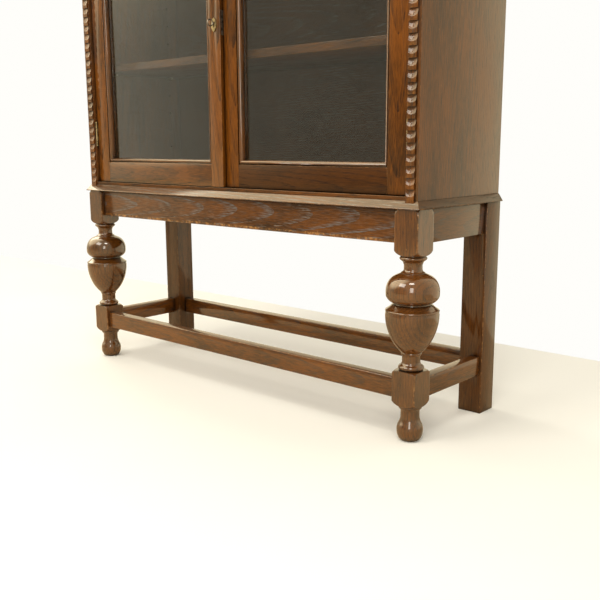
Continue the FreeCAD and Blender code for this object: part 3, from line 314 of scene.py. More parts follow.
# radius and height of the lathe profile in mm, from the floor up
leg_turning = [
    # ball foot and its collar
    *arc((0.5, 0.0), (14.0, 0.0), 0.0, 3), *arc((14.0, 0.0), (24.4, 8.0), 2.2),
    *arc((24.4, 8.0), (27.2, 18.0), 0.6, 6), *arc((27.2, 18.0), (24.4, 37.0), 1.6),
    *arc((24.4, 37.0), (19.8, 57.0), -1.5), *arc((19.8, 57.0), (20.4, 69.0), -0.3, 4),
    *arc((22.4, 69.6), (24.2, 71.6), 0.5, 4), *arc((24.2, 71.6), (24.4, 75.0), 0.3, 4),
    # lower block, clipped to the square further on
    *arc((24.4, 75.0), (TURN_CORNER, 88.0), 2.2, 12),
    *arc((TURN_CORNER, 88.0), (TURN_CORNER, 146.0), 0.0, 12),
    *arc((TURN_CORNER, 146.0), (25.6, 152.0), 2.0, 10),
    # ring, neck and cup
    *arc((23.6, 152.4), (23.6, 163.0), 3.3, 8), *arc((22.4, 163.4), (19.1, 172.5), -1.5),
    *arc((19.1, 172.5), (19.0, 185.4), 0.0, 4), *arc((20.6, 185.8), (20.8, 189.2), 0.9, 6),
    *arc((20.9, 189.6), (48.1, 231.0), 3.2, 14), *arc((48.1, 231.0), (55.0, 262.0), 1.2, 10),
    *arc((55.0, 262.0), (55.2, 274.4), 0.1, 4), *arc((54.3, 274.8), (54.3, 275.6), 0.0, 3),
    *arc((55.1, 275.9), (52.9, 280.2), 1.2, 8), *arc((52.9, 280.2), (40.4, 290.8), -0.6, 8),
    # cover
    *arc((38.6, 291.0), (38.4, 293.2), -0.2, 4), *arc((41.0, 293.6), (54.5, 307.5), 2.1, 10),
    *arc((54.5, 307.5), (54.9, 316.0), 0.1, 4), *arc((54.9, 316.0), (51.9, 332.3), 0.9, 8),
    *arc((51.9, 332.3), (33.3, 350.2), 2.8, 12), *arc((33.3, 350.2), (25.6, 353.4), 0.3, 4),
    # upper neck and ring
    *arc((24.6, 353.8), (24.4, 355.8), 0.3, 4), *arc((23.4, 356.2), (19.0, 362.4), -1.1, 8),
    *arc((19.0, 362.4), (18.9, 373.8), 0.0, 4), *arc((20.2, 374.2), (24.2, 379.6), -0.8, 8),
    *arc((24.6, 380.0), (24.6, 388.6), 3.5, 8),
    # upper block
    *arc((25.4, 389.0), (TURN_CORNER, 402.0), 2.2, 12),
    *arc((TURN_CORNER, 402.0), (TURN_CORNER, 482.9), 0.0, 12),
    (TURN_CORNER - 6.0, 482.95), (0.5, 483.0),
]
# a ring has finer steps, in degrees, towards the corners of the square
CORNER_START, CORNER_STEPS, FACE_STEPS = 36, 5, 19


def squared(angle, half, corner):
    """Distance from the axis to the face of a square with rounded corners."""
    c, s = abs(math.cos(angle)), abs(math.sin(angle))
    flat = half / max(c, s)
    inner = half - corner
    across = (c + s) * inner
    rounded = across + math.sqrt(max(0.0, across * across - 2 * inner * inner + corner * corner))
    on_corner = min(c, s) * flat > inner
    return rounded if on_corner else flat


def turned_leg(node, side):
    """A lathe mesh whose rings are clipped to the square of the blocks."""
    low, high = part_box(node)
    axis = Vector((math.copysign(LEG_OUTER - LEG_HALF, side) * MM, (low.y + high.y) / 2, 0))
    quarter_steps = np.concatenate([
        np.linspace(-45, -CORNER_START, CORNER_STEPS)[:-1],
        np.linspace(-CORNER_START, CORNER_START, FACE_STEPS),
        np.linspace(CORNER_START, 45, CORNER_STEPS)[1:-1],
    ])
    angles = [math.radians(90 * quarter + step) for quarter in range(4) for step in quarter_steps]
    bm = bmesh.new()
    rings = []
    for radius, z in leg_turning:
        in_block = any(a <= z <= b for a, b in BLOCKS)
        ring = []
        for angle in angles:
            reach = min(radius, squared(angle, LEG_HALF, BLOCK_CORNER)) if in_block else radius
            spot = Vector((math.cos(angle) * reach, math.sin(angle) * reach, z)) * MM
            ring.append(bm.verts.new(axis + spot))
        rings.append(ring)
    for lower, upper in zip(rings, rings[1:]):
        for i in range(len(angles)):
            j = (i + 1) % len(angles)
            bm.faces.new((lower[i], lower[j], upper[j], upper[i]))
    bm.faces.new(list(reversed(rings[0])))
    bm.faces.new(rings[-1])
    mesh = bpy.data.meshes.new(f"{node}_wood")
    bm.to_mesh(mesh)
    bm.free()
    mesh.materials.append(oak["Z"])
    arris = (LEG_HALF - BLOCK_CORNER) * MM
    worn = [
        float(
            any(a * MM <= face.center.z <= b * MM for a, b in BLOCKS)
            and min(abs(face.center.x - axis.x), abs(face.center.y - axis.y)) > arris
        )
        for face in mesh.polygons
    ]
    finish_wood(link(f"{node}_wood", mesh), node, "Z", tone=0.26, limed=0.0, gloss=0.72, worn=worn)


turned_leg("front_leg_left", -1)
turned_leg("front_leg_right", 1)


# Back legs: plain square posts of the same oak, standing straight to the floor.
# Their arrises are only eased by hand, and rubbed pale in patches along them.

WELD = 0.002 * MM
FLAT_FOLD, EDGE_FOLD = math.radians(0.3), math.radians(32)
ARRIS_WEAR, CHIPPED_WEAR = 0.8, 1.4


def soften(node, grain, ease, tone, limed=0.0, gloss=0.36, framed=False, chipped=0.0):
    """A copy of a wooden node with eased edges; the eased faces are where the varnish is rubbed.

    chipped is the height in mm of a band along the lower edge that is rubbed as well."""
    low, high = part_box(node)
    mesh = frame["nodes"][node].data.copy()
    bm = bmesh.new()
    bm.from_mesh(mesh)
    bmesh.ops.remove_doubles(bm, verts=bm.verts, dist=WELD)
    bmesh.ops.dissolve_limit(bm, angle_limit=FLAT_FOLD, verts=bm.verts, edges=bm.edges)
    band = low.z + chipped * MM
    if chipped:
        parts = bm.verts[:] + bm.edges[:] + bm.faces[:]
        bmesh.ops.bisect_plane(bm, geom=parts, plane_co=(0, 0, band), plane_no=(0, 0, 1))
    bm.to_mesh(mesh)
    bm.free()
    mesh.materials.clear()
    mesh.materials.append(oak[grain])
    mesh.materials.append(oak[grain])
    mesh.polygons.foreach_set("material_index", [0] * len(mesh.polygons))
    piece = link(f"{node}_wood", mesh)
    easing = piece.modifiers.new("eased_edges", "BEVEL")
    easing.width = ease * MM
    easing.segments = 2
    easing.limit_method = "ANGLE"
    easing.angle_limit = EDGE_FOLD
    easing.use_clamp_overlap = False
    easing.material = 1
    eased = bpy.data.meshes.new_from_object(piece.evaluated_get(bpy.context.evaluated_depsgraph_get()))
    piece.modifiers.clear()
    piece.data = eased
    worn = [
        max(ARRIS_WEAR * face.material_index, CHIPPED_WEAR * (face.center.z < band))
        for face in eased.polygons
    ]
    level = [0] * len(eased.polygons)
    if framed:
        # the level members of a mitred frame have their grain along the front
        for face in eased.polygons:
            x, _, z = face.center
            level[face.index] = int(min(z - low.z, high.z - z) < min(x - low.x, high.x - x))
        eased.materials[1] = oak["X"]
    else:
        eased.materials.pop(index=1)
    eased.polygons.foreach_set("material_index", level)
    finish_wood(piece, node, grain, tone, limed, gloss, worn)


for node in ("back_leg_left", "back_leg_right"):
    soften(node, "Z", 1.2, 0.14, gloss=0.36)


# Aprons: rails of plain-sawn oak between the leg tops, stub tenoned and glued.
# The front one shows a bold arched figure with pale pores and a chipped lower edge.

soften("front_apron", "X", 1.4, 0.30, limed=0.75, chipped=7)
soften("back_apron", "X", 1.0, 0.10)
for node in ("side_apron_left", "side_apron_right"):
    soften(node, "Y", 1.2, 0.16, limed=0.10, gloss=0.55)


# Stretchers: low rails tying the legs together just above the feet.
# Shoes and brooms have rubbed their upper arrises.

for node, grain in (
    ("front_stretcher", "X"), ("back_stretcher", "X"),
    ("side_stretcher_left", "Y"), ("side_stretcher_right", "Y"),
):
    soften(node, grain, 1.6, 0.36, limed=0.08, gloss=0.55)


# Corner blocks: offcuts of the same oak glued in the angles of the aprons, out of sight.
# Each takes one steel screw that holds the case down on the stand.

soften("corner_blocks", "Y", 0.8, 0.05)


# Waist moulding: a run round the foot of the case that covers its joint with the stand.
# Planed to a nosing and a long slope, mitred at the front corners and glued on.

soften("waist_moulding_front", "X", 0.7, 0.25, limed=0.8, gloss=0.45)
for node in ("waist_moulding_left", "waist_moulding_right"):
    soften(node, "Y", 0.7, 0.04, gloss=0.18)


# Case: wide side boards housed on the bottom board and top rail, with a moulded cap.
# Oak outside; the inside is the same wood with a thinner coat.

for node in ("case_side_left", "case_side_right"):
    soften(node, "Z", 0.5, 0.28, limed=0.05, gloss=0.42)
for node in ("hanging_strip_left", "hanging_strip_right"):
    soften(node, "Z", 0.4, 0.25)
soften("bottom_board", "X", 0.8, 0.30)
soften("top_rail", "X", 0.8, 0.30)
soften("back_panel", "X", 0.5, 0.05, limed=0.3, gloss=0.06)
soften("top_board", "X", 0.8, 0.30, limed=0.1, gloss=0.2)
soften("cornice_front", "X", 0.5, 0.35)
for node in ("cornice_left", "cornice_right"):
    soften(node, "Y", 0.5, 0.30)
for node in ("shelf_lower", "shelf_upper"):
    soften(node, "X", 1.0, 0.25)


# Carved strips: battens on the front edges of the case, cut with a gouge at a steady pitch.
# Each repeat is a tooth that swells downwards to a stabbed ledge, with a scooped hollow above it.
# The tree below repeats one carved length up the case.

STRIP_PITCH = 22.55
STRIP_WIDTH = 20.0
STRIP_PROUD = 4.5
STRIP_MIDDLE = 535.5
STRIP_TOP = 1296.0
STRIP_ROWS, STRIP_COLUMNS, STRIP_REPEATS = 26, 20, 35
NOTCH_LENGTH = 15.0
NOTCH_DEPTH = 4.0
NOTCH_SWEEP = 0.8
# shares by which the notch is shorter and shallower at the edges of the batten
NOTCH_SHORTER, NOTCH_SHALLOWER = 0.25, 0.22
TOOTH_POINT = 7.0
TOOTH_DROP = 2.4
TOOTH_SLOPE = 2.2
TOOTH_TIP, TOOTH_SPREAD = 0.8, 11.0
CREST_HEIGHT, CREST_WEAR = 4.0, 0.35
CASE_FRONT = -143.75
WAIST_TOP = 500.0
# height off the case and place in z of the plain foot that fits the slope of the waist
FOOT_OUTLINE = [(0, WAIST_TOP), (1.2, WAIST_TOP), (4.4, 495.4), (4.4, WAIST_TOP)]
HEAD_PROUD = 3.0


def carving(across, below):
    """Height of the carving off the case: across from the middle and below the ledge, in mm."""
    # notch struck in under the ledge right across the batten, hollowed in the middle by a round gouge
    run = NOTCH_LENGTH * (1 - NOTCH_SHORTER * (across / STRIP_WIDTH * 2) ** 2)
    depth = NOTCH_DEPTH * math.cos(min(1.0, below / run) * math.pi / 2) ** NOTCH_SWEEP
    surface = STRIP_PROUD - depth * (1 - NOTCH_SHALLOWER * (across / STRIP_WIDTH * 2) ** 2)
    # tooth left standing between one notch and the next, its point upwards
    if below > TOOTH_POINT:
        rise = (below - TOOTH_POINT) / (STRIP_PITCH - TOOTH_POINT)
        crest = STRIP_PROUD - TOOTH_DROP * max(0.0, 1 - 2.0 * rise)
        surface = max(surface, crest - TOOTH_SLOPE * abs(across) / (TOOTH_TIP + TOOTH_SPREAD * rise))
    return min(STRIP_PROUD, surface)


def carved_repeat(middle):
    """One repeat as a closed block standing on the lowest ledge."""
    bm = bmesh.new()
    rows = []
    for row in range(STRIP_ROWS + 1):
        rise = STRIP_PITCH * row / STRIP_ROWS
        across = [STRIP_WIDTH * (column / STRIP_COLUMNS - 0.5) for column in range(STRIP_COLUMNS + 1)]
        rows.append([
            bm.verts.new(Vector((
                middle + x, CASE_FRONT - carving(x, STRIP_PITCH - rise), WAIST_TOP + rise,
            )) * MM)
            for x in across
        ])
    for lower, upper in zip(rows, rows[1:]):
        for i in range(STRIP_COLUMNS):
            bm.faces.new((lower[i], lower[i + 1], upper[i + 1], upper[i]))
    rim = [edge for edge in bm.edges if edge.is_boundary]
    walls = bmesh.ops.extrude_edge_only(bm, edges=rim)["geom"]
    for vertex in (item for item in walls if isinstance(item, bmesh.types.BMVert)):
        vertex.co.y = CASE_FRONT * MM
    bmesh.ops.holes_fill(bm, edges=[edge for edge in bm.edges if edge.is_boundary])
    bmesh.ops.recalc_face_normals(bm, faces=bm.faces)
    mesh = bpy.data.meshes.new("carved_repeat")
    bm.to_mesh(mesh)
    bm.free()
    return mesh


repeat_up = bpy.data.node_groups.new("repeat_up_the_case", "GeometryNodeTree")
for label, kind, direction in (
    ("Carved length", "NodeSocketGeometry", "INPUT"), ("Repeats", "NodeSocketInt", "INPUT"),
    ("Pitch", "NodeSocketVector", "INPUT"), ("Wood", "NodeSocketMaterial", "INPUT"),
    ("Strip", "NodeSocketGeometry", "OUTPUT"),
):
    repeat_up.interface.new_socket(name=label, in_out=direction, socket_type=kind)
given = add(repeat_up, "NodeGroupInput")
stations = add(repeat_up, "GeometryNodeMeshLine", {
    "Count": given.outputs["Repeats"], "Offset": given.outputs["Pitch"],
}, mode="OFFSET", count_mode="TOTAL")
row_of_teeth = add(repeat_up, "GeometryNodeInstanceOnPoints", {
    "Points": stations.outputs["Mesh"], "Instance": given.outputs["Carved length"],
})
joined = add(repeat_up, "GeometryNodeRealizeInstances", {"Geometry": row_of_teeth.outputs["Instances"]})
stained = add(repeat_up, "GeometryNodeSetMaterial", {
    "Geometry": joined.outputs["Geometry"], "Material": given.outputs["Wood"],
})
add(repeat_up, "NodeGroupOutput", {"Strip": stained.outputs["Geometry"]})


def run_tree(piece, tree, **values):
    """Evaluates a node tree on a piece and leaves the result as its plain mesh."""
    step = piece.modifiers.new(tree.name, "NODES")
    step.node_group = tree
    sockets = {item.name: item.identifier for item in tree.interface.items_tree if item.in_out == "INPUT"}
    for label, value in values.items():
        step[sockets[label.replace("_", " ")]] = value
    made = bpy.data.meshes.new_from_object(piece.evaluated_get(bpy.context.evaluated_depsgraph_get()))
    piece.modifiers.clear()
    piece.data = made
    return piece


def strip_end(bm, middle, outline):
    """A plain end of the strip: outline is (height off the case, z) in order."""
    ends = [
        [bm.verts.new(Vector((middle + half, CASE_FRONT - d, z)) * MM) for d, z in outline]
        for half in (-STRIP_WIDTH / 2, STRIP_WIDTH / 2)
    ]
    faces = [bm.faces.new(ends[0]), bm.faces.new(list(reversed(ends[1])))]
    for i in range(len(outline)):
        j = (i + 1) % len(outline)
        faces.append(bm.faces.new((ends[0][j], ends[0][i], ends[1][i], ends[1][j])))
    bmesh.ops.recalc_face_normals(bm, faces=faces)


for node, side in (("carved_strip_left", -1), ("carved_strip_right", 1)):
    middle = side * STRIP_MIDDLE
    strip = run_tree(
        link(f"{node}_wood", carved_repeat(middle)), repeat_up,
        Repeats=STRIP_REPEATS, Pitch=(0, 0, STRIP_PITCH * MM), Wood=oak["Z"],
    )
    bm = bmesh.new()
    bm.from_mesh(strip.data)
    top = WAIST_TOP + STRIP_PITCH * STRIP_REPEATS
    strip_end(bm, middle, FOOT_OUTLINE)
    strip_end(bm, middle, [(0, top), (HEAD_PROUD, top), (HEAD_PROUD, STRIP_TOP), (0, STRIP_TOP)])
    bm.to_mesh(strip.data)
    bm.free()
    strip.data.materials.clear()
    strip.data.materials.append(oak["Z"])
    strip.data.polygons.foreach_set("material_index", [0] * len(strip.data.polygons))
    crest = [
        CREST_WEAR if CASE_FRONT - face.center.y / MM > CREST_HEIGHT else 0.0
        for face in strip.data.polygons
    ]
    finish_wood(strip, node, "Z", tone=0.36, limed=0.1, gloss=0.36, worn=crest)


# Doors: stiles and rails mortised together, with a moulding planted round the glass
# and plain beads behind it. Both are stained and polished oak; the right door is the duller one.

DOOR_TONES = {
    "left": {"hinge_stile": 0.54, "meeting_stile": 0.45, "bottom_rail": 0.33, "top_rail": 0.40},
    "right": {"hinge_stile": 0.38, "meeting_stile": 0.36, "bottom_rail": 0.05, "top_rail": 0.20},
}
DOOR_GLOSS = {"left": 0.55, "right": 0.1}
for word, tones in DOOR_TONES.items():
    for member, tone in tones.items():
        grain = "Z" if "stile" in member else "X"
        soften(f"{word}_door_{member}", grain, 0.9, tone, gloss=DOOR_GLOSS[word])
    soften(f"{word}_door_moulding", "Z", 0.4, 0.30, gloss=0.65, framed=True)
    soften(f"{word}_door_beads", "Z", 0.6, 0.30, framed=True)


# Glass: one flat pane a door, 3 mm drawn sheet, held between moulding and beads.
# Faint greenish body, drawn slightly wavy, so the room it mirrors bends a little.

def sheet_glass(name):
    """Drawn sheet glass: clear and slightly wavy."""
    material, output = fresh_material(name)
    tree = material.node_tree
    place = add(tree, "ShaderNodeTexCoord").outputs["Object"]
    wave = add(tree, "ShaderNodeTexNoise", {
        "Vector": add(tree, "ShaderNodeMapping", {"Vector": place, "Scale": (1, 1, 0.3)}).outputs[0],
        "Scale": 1 / (160 * MM), "Detail": 0.0,
    }).outputs["Fac"]
    bump = add(tree, "ShaderNodeBump", {"Height": wave, "Strength": 0.008, "Distance": 0.2 * MM}).outputs[0]
    pane = add(tree, "ShaderNodeBsdfPrincipled", {
        "Base Color": linear("e6ece6"), "Roughness": 0.0, "Normal": bump, "IOR": 1.5,
        "Transmission Weight": 1.0,
    })
    # light passes straight through to the shelves instead of being stopped by the pane
    clear = add(tree, "ShaderNodeBsdfTransparent", {"Color": linear("eef2ec")})
    ray = add(tree, "ShaderNodeLightPath")
    light = add(tree, "ShaderNodeMath", {
        0: ray.outputs["Is Shadow Ray"], 1: ray.outputs["Is Diffuse Ray"],
    }, operation="MAXIMUM").outputs[0]
    mixed = add(tree, "ShaderNodeMixShader", {0: light, 1: pane.outputs[0], 2: clear.outputs[0]})
    tree.links.new(mixed.outputs[0], output.inputs["Surface"])
    return material


def dress(node, material):
    """Puts a material on a carried-over node."""
    piece = frame["nodes"][node]
    if not piece.material_slots:
        piece.data.materials.append(material)
    for place in piece.material_slots:
        place.material = material


glass = sheet_glass("drawn_sheet_glass")
for word in DOOR_TONES:
    dress(f"{word}_door_glass", glass)


# Hinges, pegs, escutcheon and door bolt: cast and drawn brass, lacquer long gone.
# Dull and brown in patches, brighter and smoother between them.

def worn_metal(name, clean, tarnished, low, high):
    """Bare metal with patchy tarnish and fine rubbing marks."""
    material, output = fresh_material(name)
    tree = material.node_tree
    place = add(tree, "ShaderNodeTexCoord").outputs["Object"]
    patch = add(tree, "ShaderNodeTexNoise", {
        "Vector": place, "Scale": 1 / (7 * MM), "Detail": 5.0,
    }).outputs["Fac"]
    share = add(tree, "ShaderNodeMapRange", {"Value": patch, "From Min": 0.4, "From Max": 0.65}).outputs[0]
    colour = add(tree, "ShaderNodeMix", {
        0: share, 6: linear(clean), 7: linear(tarnished),
    }, data_type="RGBA").outputs[2]
    roughness = add(tree, "ShaderNodeMapRange", {"Value": patch, "To Min": low, "To Max": high}).outputs[0]
    marks = add(tree, "ShaderNodeTexNoise", {
        "Vector": place, "Scale": 1 / (0.8 * MM), "Detail": 2.0,
    }).outputs["Fac"]
    bump = add(tree, "ShaderNodeBump", {"Height": marks, "Strength": 0.12, "Distance": 0.2 * MM}).outputs[0]
    surface = add(tree, "ShaderNodeBsdfPrincipled", {
        "Base Color": colour, "Metallic": 1.0, "Roughness": roughness, "Normal": bump,
    })
    tree.links.new(surface.outputs[0], output.inputs["Surface"])
    return material


brass = worn_metal("aged_brass", "ac9d7a", "665a44", 0.32, 0.58)
for node in (
    "hinge_case_leaves", "hinge_pins", "left_door_hinge_leaves", "right_door_hinge_leaves",
    "shelf_pegs", "escutcheon", "bolt_plate", "bolt_rod",
):
    dress(node, brass)


# Lock: a steel mortise lock in the left door with its bolt and a plain ring key.
# Blued once, now grey, with a brown bloom.

steel = worn_metal("dulled_steel", "8d8780", "4d443c", 0.35, 0.60)
for node in ("lock_case", "lock_bolt", "lock_key"):
    dress(node, steel)


# Screws: slotted countersunk wood screws, brass in the hinges and steel in the corner blocks.
# Turned and slotted one by one, so each slot ends at its own angle.

SLOT_HALF = 0.4 * MM
SLOT_DEPTH = 0.6 * MM
HEAD_SIDES = 28
HEAD_RIM = 0.3 * MM
HEAD_TAPER = 0.6
SHANK_SHARE = 0.5
SHANK_RUN = 0.7
POINT_RADIUS = 0.2 * MM
LEVEL_FACE = 0.9
END_BAND = 0.1 * MM


def loose_solids(node):
    """The vertices of each separate solid of a node, as arrays in metres."""
    bm = bmesh.new()
    bm.from_mesh(frame["nodes"][node].data)
    bmesh.ops.remove_doubles(bm, verts=bm.verts, dist=WELD)
    waiting = set(bm.verts)
    solids = []
    while waiting:
        front = [waiting.pop()]
        found = []
        while front:
            vertex = front.pop()
            found.append(tuple(vertex.co))
            for edge in vertex.link_edges:
                other = edge.other_vert(vertex)
                if other in waiting:
                    waiting.discard(other)
                    front.append(other)
        solids.append(np.array(found))
    bm.free()
    return sorted(solids, key=lambda spots: tuple(spots.mean(axis=0).round(5)))


def screw_place(spots):
    """Head middle, outward direction, head radius and length of one screw."""
    middle = spots.mean(axis=0)
    axis = np.linalg.svd(spots - middle)[2][0]
    run = (spots - middle) @ axis
    offset = np.linalg.norm(spots - middle - np.outer(run, axis), axis=1)
    if offset[run > run.max() - END_BAND].max() < offset[run < run.min() + END_BAND].max():
        axis, run = -axis, -run
    return middle + axis * run.max(), axis, offset.max(), run.max() - run.min()


def slotted_screw(radius, length):
    """One screw, its head at the origin facing up."""
    shank = radius * SHANK_SHARE
    outline = [
        (radius, 0.0), (radius, -HEAD_RIM), (shank, -radius * HEAD_TAPER),
        (shank, -length * SHANK_RUN), (POINT_RADIUS, -length),
    ]
    angles = np.linspace(0, math.tau, HEAD_SIDES, endpoint=False)
    bm = bmesh.new()
    rings = [
        [bm.verts.new((r * math.cos(t), r * math.sin(t), z)) for t in angles]
        for r, z in outline
    ]
    bm.faces.new(rings[0])
    bm.faces.new(list(reversed(rings[-1])))
    for upper, lower in zip(rings, rings[1:]):
        for i in range(HEAD_SIDES):
            j = (i + 1) % HEAD_SIDES
            bm.faces.new((lower[i], lower[j], upper[j], upper[i]))
    for x in (-SLOT_HALF, SLOT_HALF):
        bm.normal_update()
        faces = [face for face in bm.faces if face.normal.z > LEVEL_FACE]
        edges = list({edge for face in faces for edge in face.edges})
        bmesh.ops.bisect_plane(bm, geom=faces + edges, plane_co=(x, 0, 0), plane_no=(1, 0, 0))
    bm.normal_update()
    slot = [
        face for face in bm.faces
        if face.normal.z > LEVEL_FACE and abs(face.calc_center_median().x) < SLOT_HALF
    ]
    sunk = bmesh.ops.extrude_face_region(bm, geom=slot)["geom"]
    bmesh.ops.delete(bm, geom=slot, context="FACES_ONLY")
    bottom = [item for item in sunk if isinstance(item, bmesh.types.BMVert)]
    bmesh.ops.translate(bm, verts=bottom, vec=(0, 0, -SLOT_DEPTH))
    bmesh.ops.recalc_face_normals(bm, faces=bm.faces)
    mesh = bpy.data.meshes.new("slotted_screw")
    bm.to_mesh(mesh)
    bm.free()
    return mesh


drive = bpy.data.node_groups.new("drive_screws", "GeometryNodeTree")
for label, kind, direction in (
    ("Places", "NodeSocketGeometry", "INPUT"), ("Screw", "NodeSocketObject", "INPUT"),
    ("Turn", "NodeSocketFloat", "INPUT"), ("Metal", "NodeSocketMaterial", "INPUT"),
    ("Screws", "NodeSocketGeometry", "OUTPUT"),
):
    drive.interface.new_socket(name=label, in_out=direction, socket_type=kind)
asked = add(drive, "NodeGroupInput")
pattern = add(drive, "GeometryNodeObjectInfo", {"Object": asked.outputs["Screw"]}, transform_space="ORIGINAL")
aim = add(drive, "GeometryNodeInputNamedAttribute", {"Name": "aim"}, data_type="FLOAT_VECTOR")
faced = add(drive, "FunctionNodeAlignRotationToVector", {"Vector": aim.outputs[0]}, axis="Z")
chance = add(drive, "FunctionNodeRandomValue", {
    "Min": 0.0, "Max": asked.outputs["Turn"], "Seed": 7,
}, data_type="FLOAT")
spin = add(drive, "FunctionNodeAxisAngleToRotation", {"Axis": (0, 0, 1), "Angle": chance.outputs[1]})
turned = add(drive, "FunctionNodeRotateRotation", {
    "Rotation": faced.outputs[0], "Rotate By": spin.outputs[0],
}, rotation_space="LOCAL")
driven = add(drive, "GeometryNodeInstanceOnPoints", {
    "Points": asked.outputs["Places"], "Instance": pattern.outputs["Geometry"], "Rotation": turned.outputs[0],
})
solid = add(drive, "GeometryNodeRealizeInstances", {"Geometry": driven.outputs["Instances"]})
plated = add(drive, "GeometryNodeSetMaterial", {
    "Geometry": solid.outputs["Geometry"], "Material": asked.outputs["Metal"],
})
add(drive, "NodeGroupOutput", {"Screws": plated.outputs["Geometry"]})


def screws(node, metal):
    """Replaces the plain screws of a node by slotted ones."""
    places = [screw_place(spots) for spots in loose_solids(node)]
    points = bpy.data.meshes.new(f"{node}_places")
    points.from_pydata([tuple(place[0]) for place in places], [], [])
    points.attributes.new("aim", "FLOAT_VECTOR", "POINT").data.foreach_set(
        "vector", [float(value) for place in places for value in place[1]])
    pattern = link(f"{node}_pattern", slotted_screw(float(places[0][2]), float(places[0][3])))
    piece = run_tree(link(f"{node}_metal", points), drive, Screw=pattern, Turn=math.pi, Metal=metal)
    bpy.data.objects.remove(pattern)
    piece.data.materials.clear()
    piece.data.materials.append(metal)
    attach(piece, body_of[node])
    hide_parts(node)


for node in ("hinge_case_screws", "left_door_hinge_screws", "right_door_hinge_screws"):
    screws(node, brass)
screws("stand_screws", steel)


# Floor: one flat sheet of plain pale cream that ends at the line of the wall.
# Matt and faintly clouded, so it takes the soft shadow of the stand.

def pale_floor():
    """Matt pale cream with clouds about 600 mm across."""
    material, output = fresh_material("pale_floor")
    tree = material.node_tree
    place = add(tree, "ShaderNodeTexCoord").outputs["Object"]
    cloud = add(tree, "ShaderNodeTexNoise", {
        "Vector": place, "Scale": 1 / (600 * MM), "Detail": 3.0,
    }).outputs["Fac"]
    colour = add(tree, "ShaderNodeMix", {
        0: cloud, 6: linear("f8f6ec"), 7: linear("fbfaf3"),
    }, data_type="RGBA").outputs[2]
    # varnish and panes mirror it a little warmer than it is seen
    mirror = add(tree, "ShaderNodeLightPath").outputs["Is Glossy Ray"]
    seen = add(tree, "ShaderNodeMix", {
        0: mirror, 6: colour, 7: linear("ecd4a8"),
    }, data_type="RGBA").outputs[2]
    matt = add(tree, "ShaderNodeBsdfPrincipled", {
        "Base Color": seen, "Roughness": 0.7, "Specular IOR Level": 0.2,
    })
    tree.links.new(matt.outputs[0], output.inputs["Surface"])
    return material


FLOOR_LEFT, FLOOR_RIGHT = -4.0, 2.7
FLOOR_FRONT, FLOOR_BACK = -2.7, 0.745
floor_mesh = bpy.data.meshes.new("floor")
floor_mesh.from_pydata([
    (FLOOR_LEFT, FLOOR_FRONT, 0), (FLOOR_RIGHT, FLOOR_FRONT, 0),
    (FLOOR_RIGHT, FLOOR_BACK, 0), (FLOOR_LEFT, FLOOR_BACK, 0),
], [], [(0, 1, 2, 3)])
floor_mesh.materials.append(pale_floor())
floor = link("floor", floor_mesh)


# Room and lamps: a plain white room, a little darker towards the left front.
# A skylight on the left, two soft lamps overhead and a window behind the camera light it.

SHADE_TURN = math.radians(22)
SHADE_SIDE = (-math.sin(SHADE_TURN), -math.cos(SHADE_TURN), 0)
WINDOW_SIDE = (-0.70, -0.20, 0.69)
world = bpy.data.worlds.new("white_room")
bpy.context.scene.world = world
world.use_nodes = True
room = world.node_tree
room.nodes.clear()
path = add(room, "ShaderNodeLightPath")
towards = add(room, "ShaderNodeTexCoord").outputs["Generated"]
shade_side = add(room, "ShaderNodeVectorMath", {
    0: towards, 1: SHADE_SIDE,
}, operation="DOT_PRODUCT").outputs["Value"]
shaded = add(room, "ShaderNodeMapRange", {
    "Value": shade_side, "From Min": 0.80, "From Max": 0.93, "To Min": 1.0, "To Max": 0.55,
}, interpolation_type="SMOOTHSTEP").outputs[0]
# the windows lay high on the left, and the varnish shows them as a broad sheen
window_side = add(room, "ShaderNodeVectorMath", {
    0: towards, 1: WINDOW_SIDE,
}, operation="DOT_PRODUCT").outputs["Value"]
sheen = add(room, "ShaderNodeMapRange", {
    "Value": window_side, "From Min": 0.75, "From Max": 0.95, "To Min": 1.0, "To Max": 5.0,
}, interpolation_type="SMOOTHSTEP").outputs[0]
# the white wall behind the bookcase is the brightest part of the rest
wall_side = add(room, "ShaderNodeSeparateXYZ", {0: towards}).outputs["Y"]
wall = add(room, "ShaderNodeMapRange", {
    "Value": wall_side, "From Min": 0.0, "From Max": 0.6, "To Min": 1.0, "To Max": 1.5,
}).outputs[0]
lit = add(room, "ShaderNodeMath", {0: wall, 1: sheen}, operation="MULTIPLY").outputs[0]
gleam = add(room, "ShaderNodeMath", {0: shaded, 1: lit}, operation="MULTIPLY").outputs[0]
ambient = add(room, "ShaderNodeBackground", {"Color": linear("fffaf0"), "Strength": 0.75})
mirrored = add(room, "ShaderNodeBackground", {"Color": linear("feecc2"), "Strength": gleam})
through = add(room, "ShaderNodeBackground", {"Color": linear("fffefa"), "Strength": shaded})
white = add(room, "ShaderNodeBackground", {"Color": linear("fffefa"), "Strength": 1.0})
inside = add(room, "ShaderNodeMixShader", {
    0: path.outputs["Is Glossy Ray"], 1: ambient.outputs[0], 2: mirrored.outputs[0],
})
behind_glass = add(room, "ShaderNodeMixShader", {
    0: path.outputs["Is Transmission Ray"], 1: inside.outputs[0], 2: through.outputs[0],
})
whole = add(room, "ShaderNodeMixShader", {
    0: path.outputs["Is Camera Ray"], 1: behind_glass.outputs[0], 2: white.outputs[0],
})
add(room, "ShaderNodeOutputWorld", {"Surface": whole.outputs[0]})


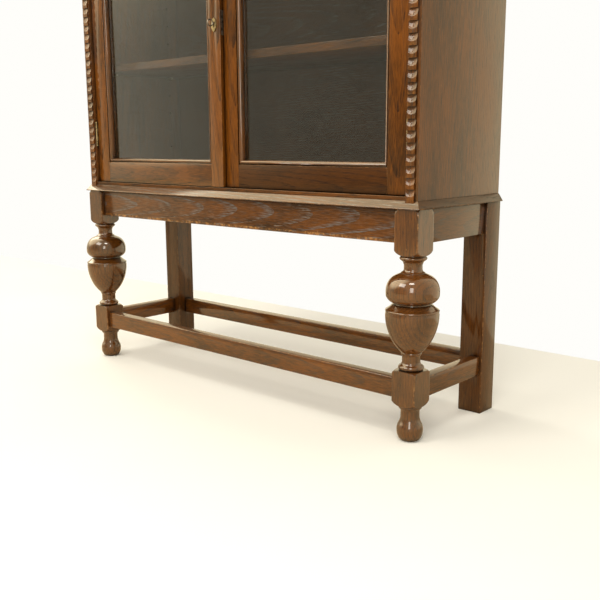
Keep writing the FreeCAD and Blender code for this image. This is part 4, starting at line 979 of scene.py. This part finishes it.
def soft_lamp(name, place, target, size, watts):
    """A flat lamp of the given width and height in metres, aimed at a point."""
    lamp = bpy.data.lights.new(name, "AREA")
    lamp.shape = "RECTANGLE"
    lamp.size, lamp.size_y = size
    lamp.energy = watts
    lamp.color = linear("fff8ec")[:3]
    holder = bpy.data.objects.new(name, lamp)
    bpy.context.scene.collection.objects.link(holder)
    holder.location = place
    holder.rotation_euler = (Vector(target) - Vector(place)).to_track_quat("-Z", "Y").to_euler()


soft_lamp("skylight_left", (-2.8, 0.35, 2.9), (-0.6, 0.1, 0.4), (1.2, 3.6), 36)
soft_lamp("ceiling_lamp_left", (-0.6, -2.5, 2.7), (0.0, 0, 0.4), (1.6, 1.2), 44)
soft_lamp("ceiling_lamp_right", (1.1, -1.3, 2.9), (0.2, 0, 0.4), (0.8, 0.5), 20)
soft_lamp("window_behind_camera", (2.1, -2.9, 1.5), (0.2, 0, 0.5), (0.8, 1.6), 26)


# Camera: where the photograph was taken from, solved from the edges of the stand.
# A plain lens with all in focus; the place is in mm and the turns are in radians.

CAMERA_PLACE = (1445.8055, -1477.262, 614.4062)
CAMERA_YAW, CAMERA_PITCH, CAMERA_ROLL = 0.7342, 0.1920, -0.0051
FOCAL_PIXELS = 812.0526
IMAGE_PIXELS = 600
ahead = Vector((
    -math.sin(CAMERA_YAW) * math.cos(CAMERA_PITCH),
    math.cos(CAMERA_YAW) * math.cos(CAMERA_PITCH),
    -math.sin(CAMERA_PITCH),
))
level = Vector((math.cos(CAMERA_YAW), math.sin(CAMERA_YAW), 0))
upright = level.cross(ahead)
right = level * math.cos(CAMERA_ROLL) + upright * math.sin(CAMERA_ROLL)
up = upright * math.cos(CAMERA_ROLL) - level * math.sin(CAMERA_ROLL)
view = bpy.data.cameras.new("photo_camera")
view.sensor_width = 36.0
view.lens = FOCAL_PIXELS / IMAGE_PIXELS * view.sensor_width
view.clip_start = 0.01
camera = bpy.data.objects.new("photo_camera", view)
bpy.context.scene.collection.objects.link(camera)
turn = Matrix((right, up, -ahead)).transposed().to_4x4()
camera.matrix_world = Matrix.Translation(Vector(CAMERA_PLACE) * MM) @ turn
bpy.context.scene.camera = camera
bpy.context.scene.view_settings.view_transform = "Standard"
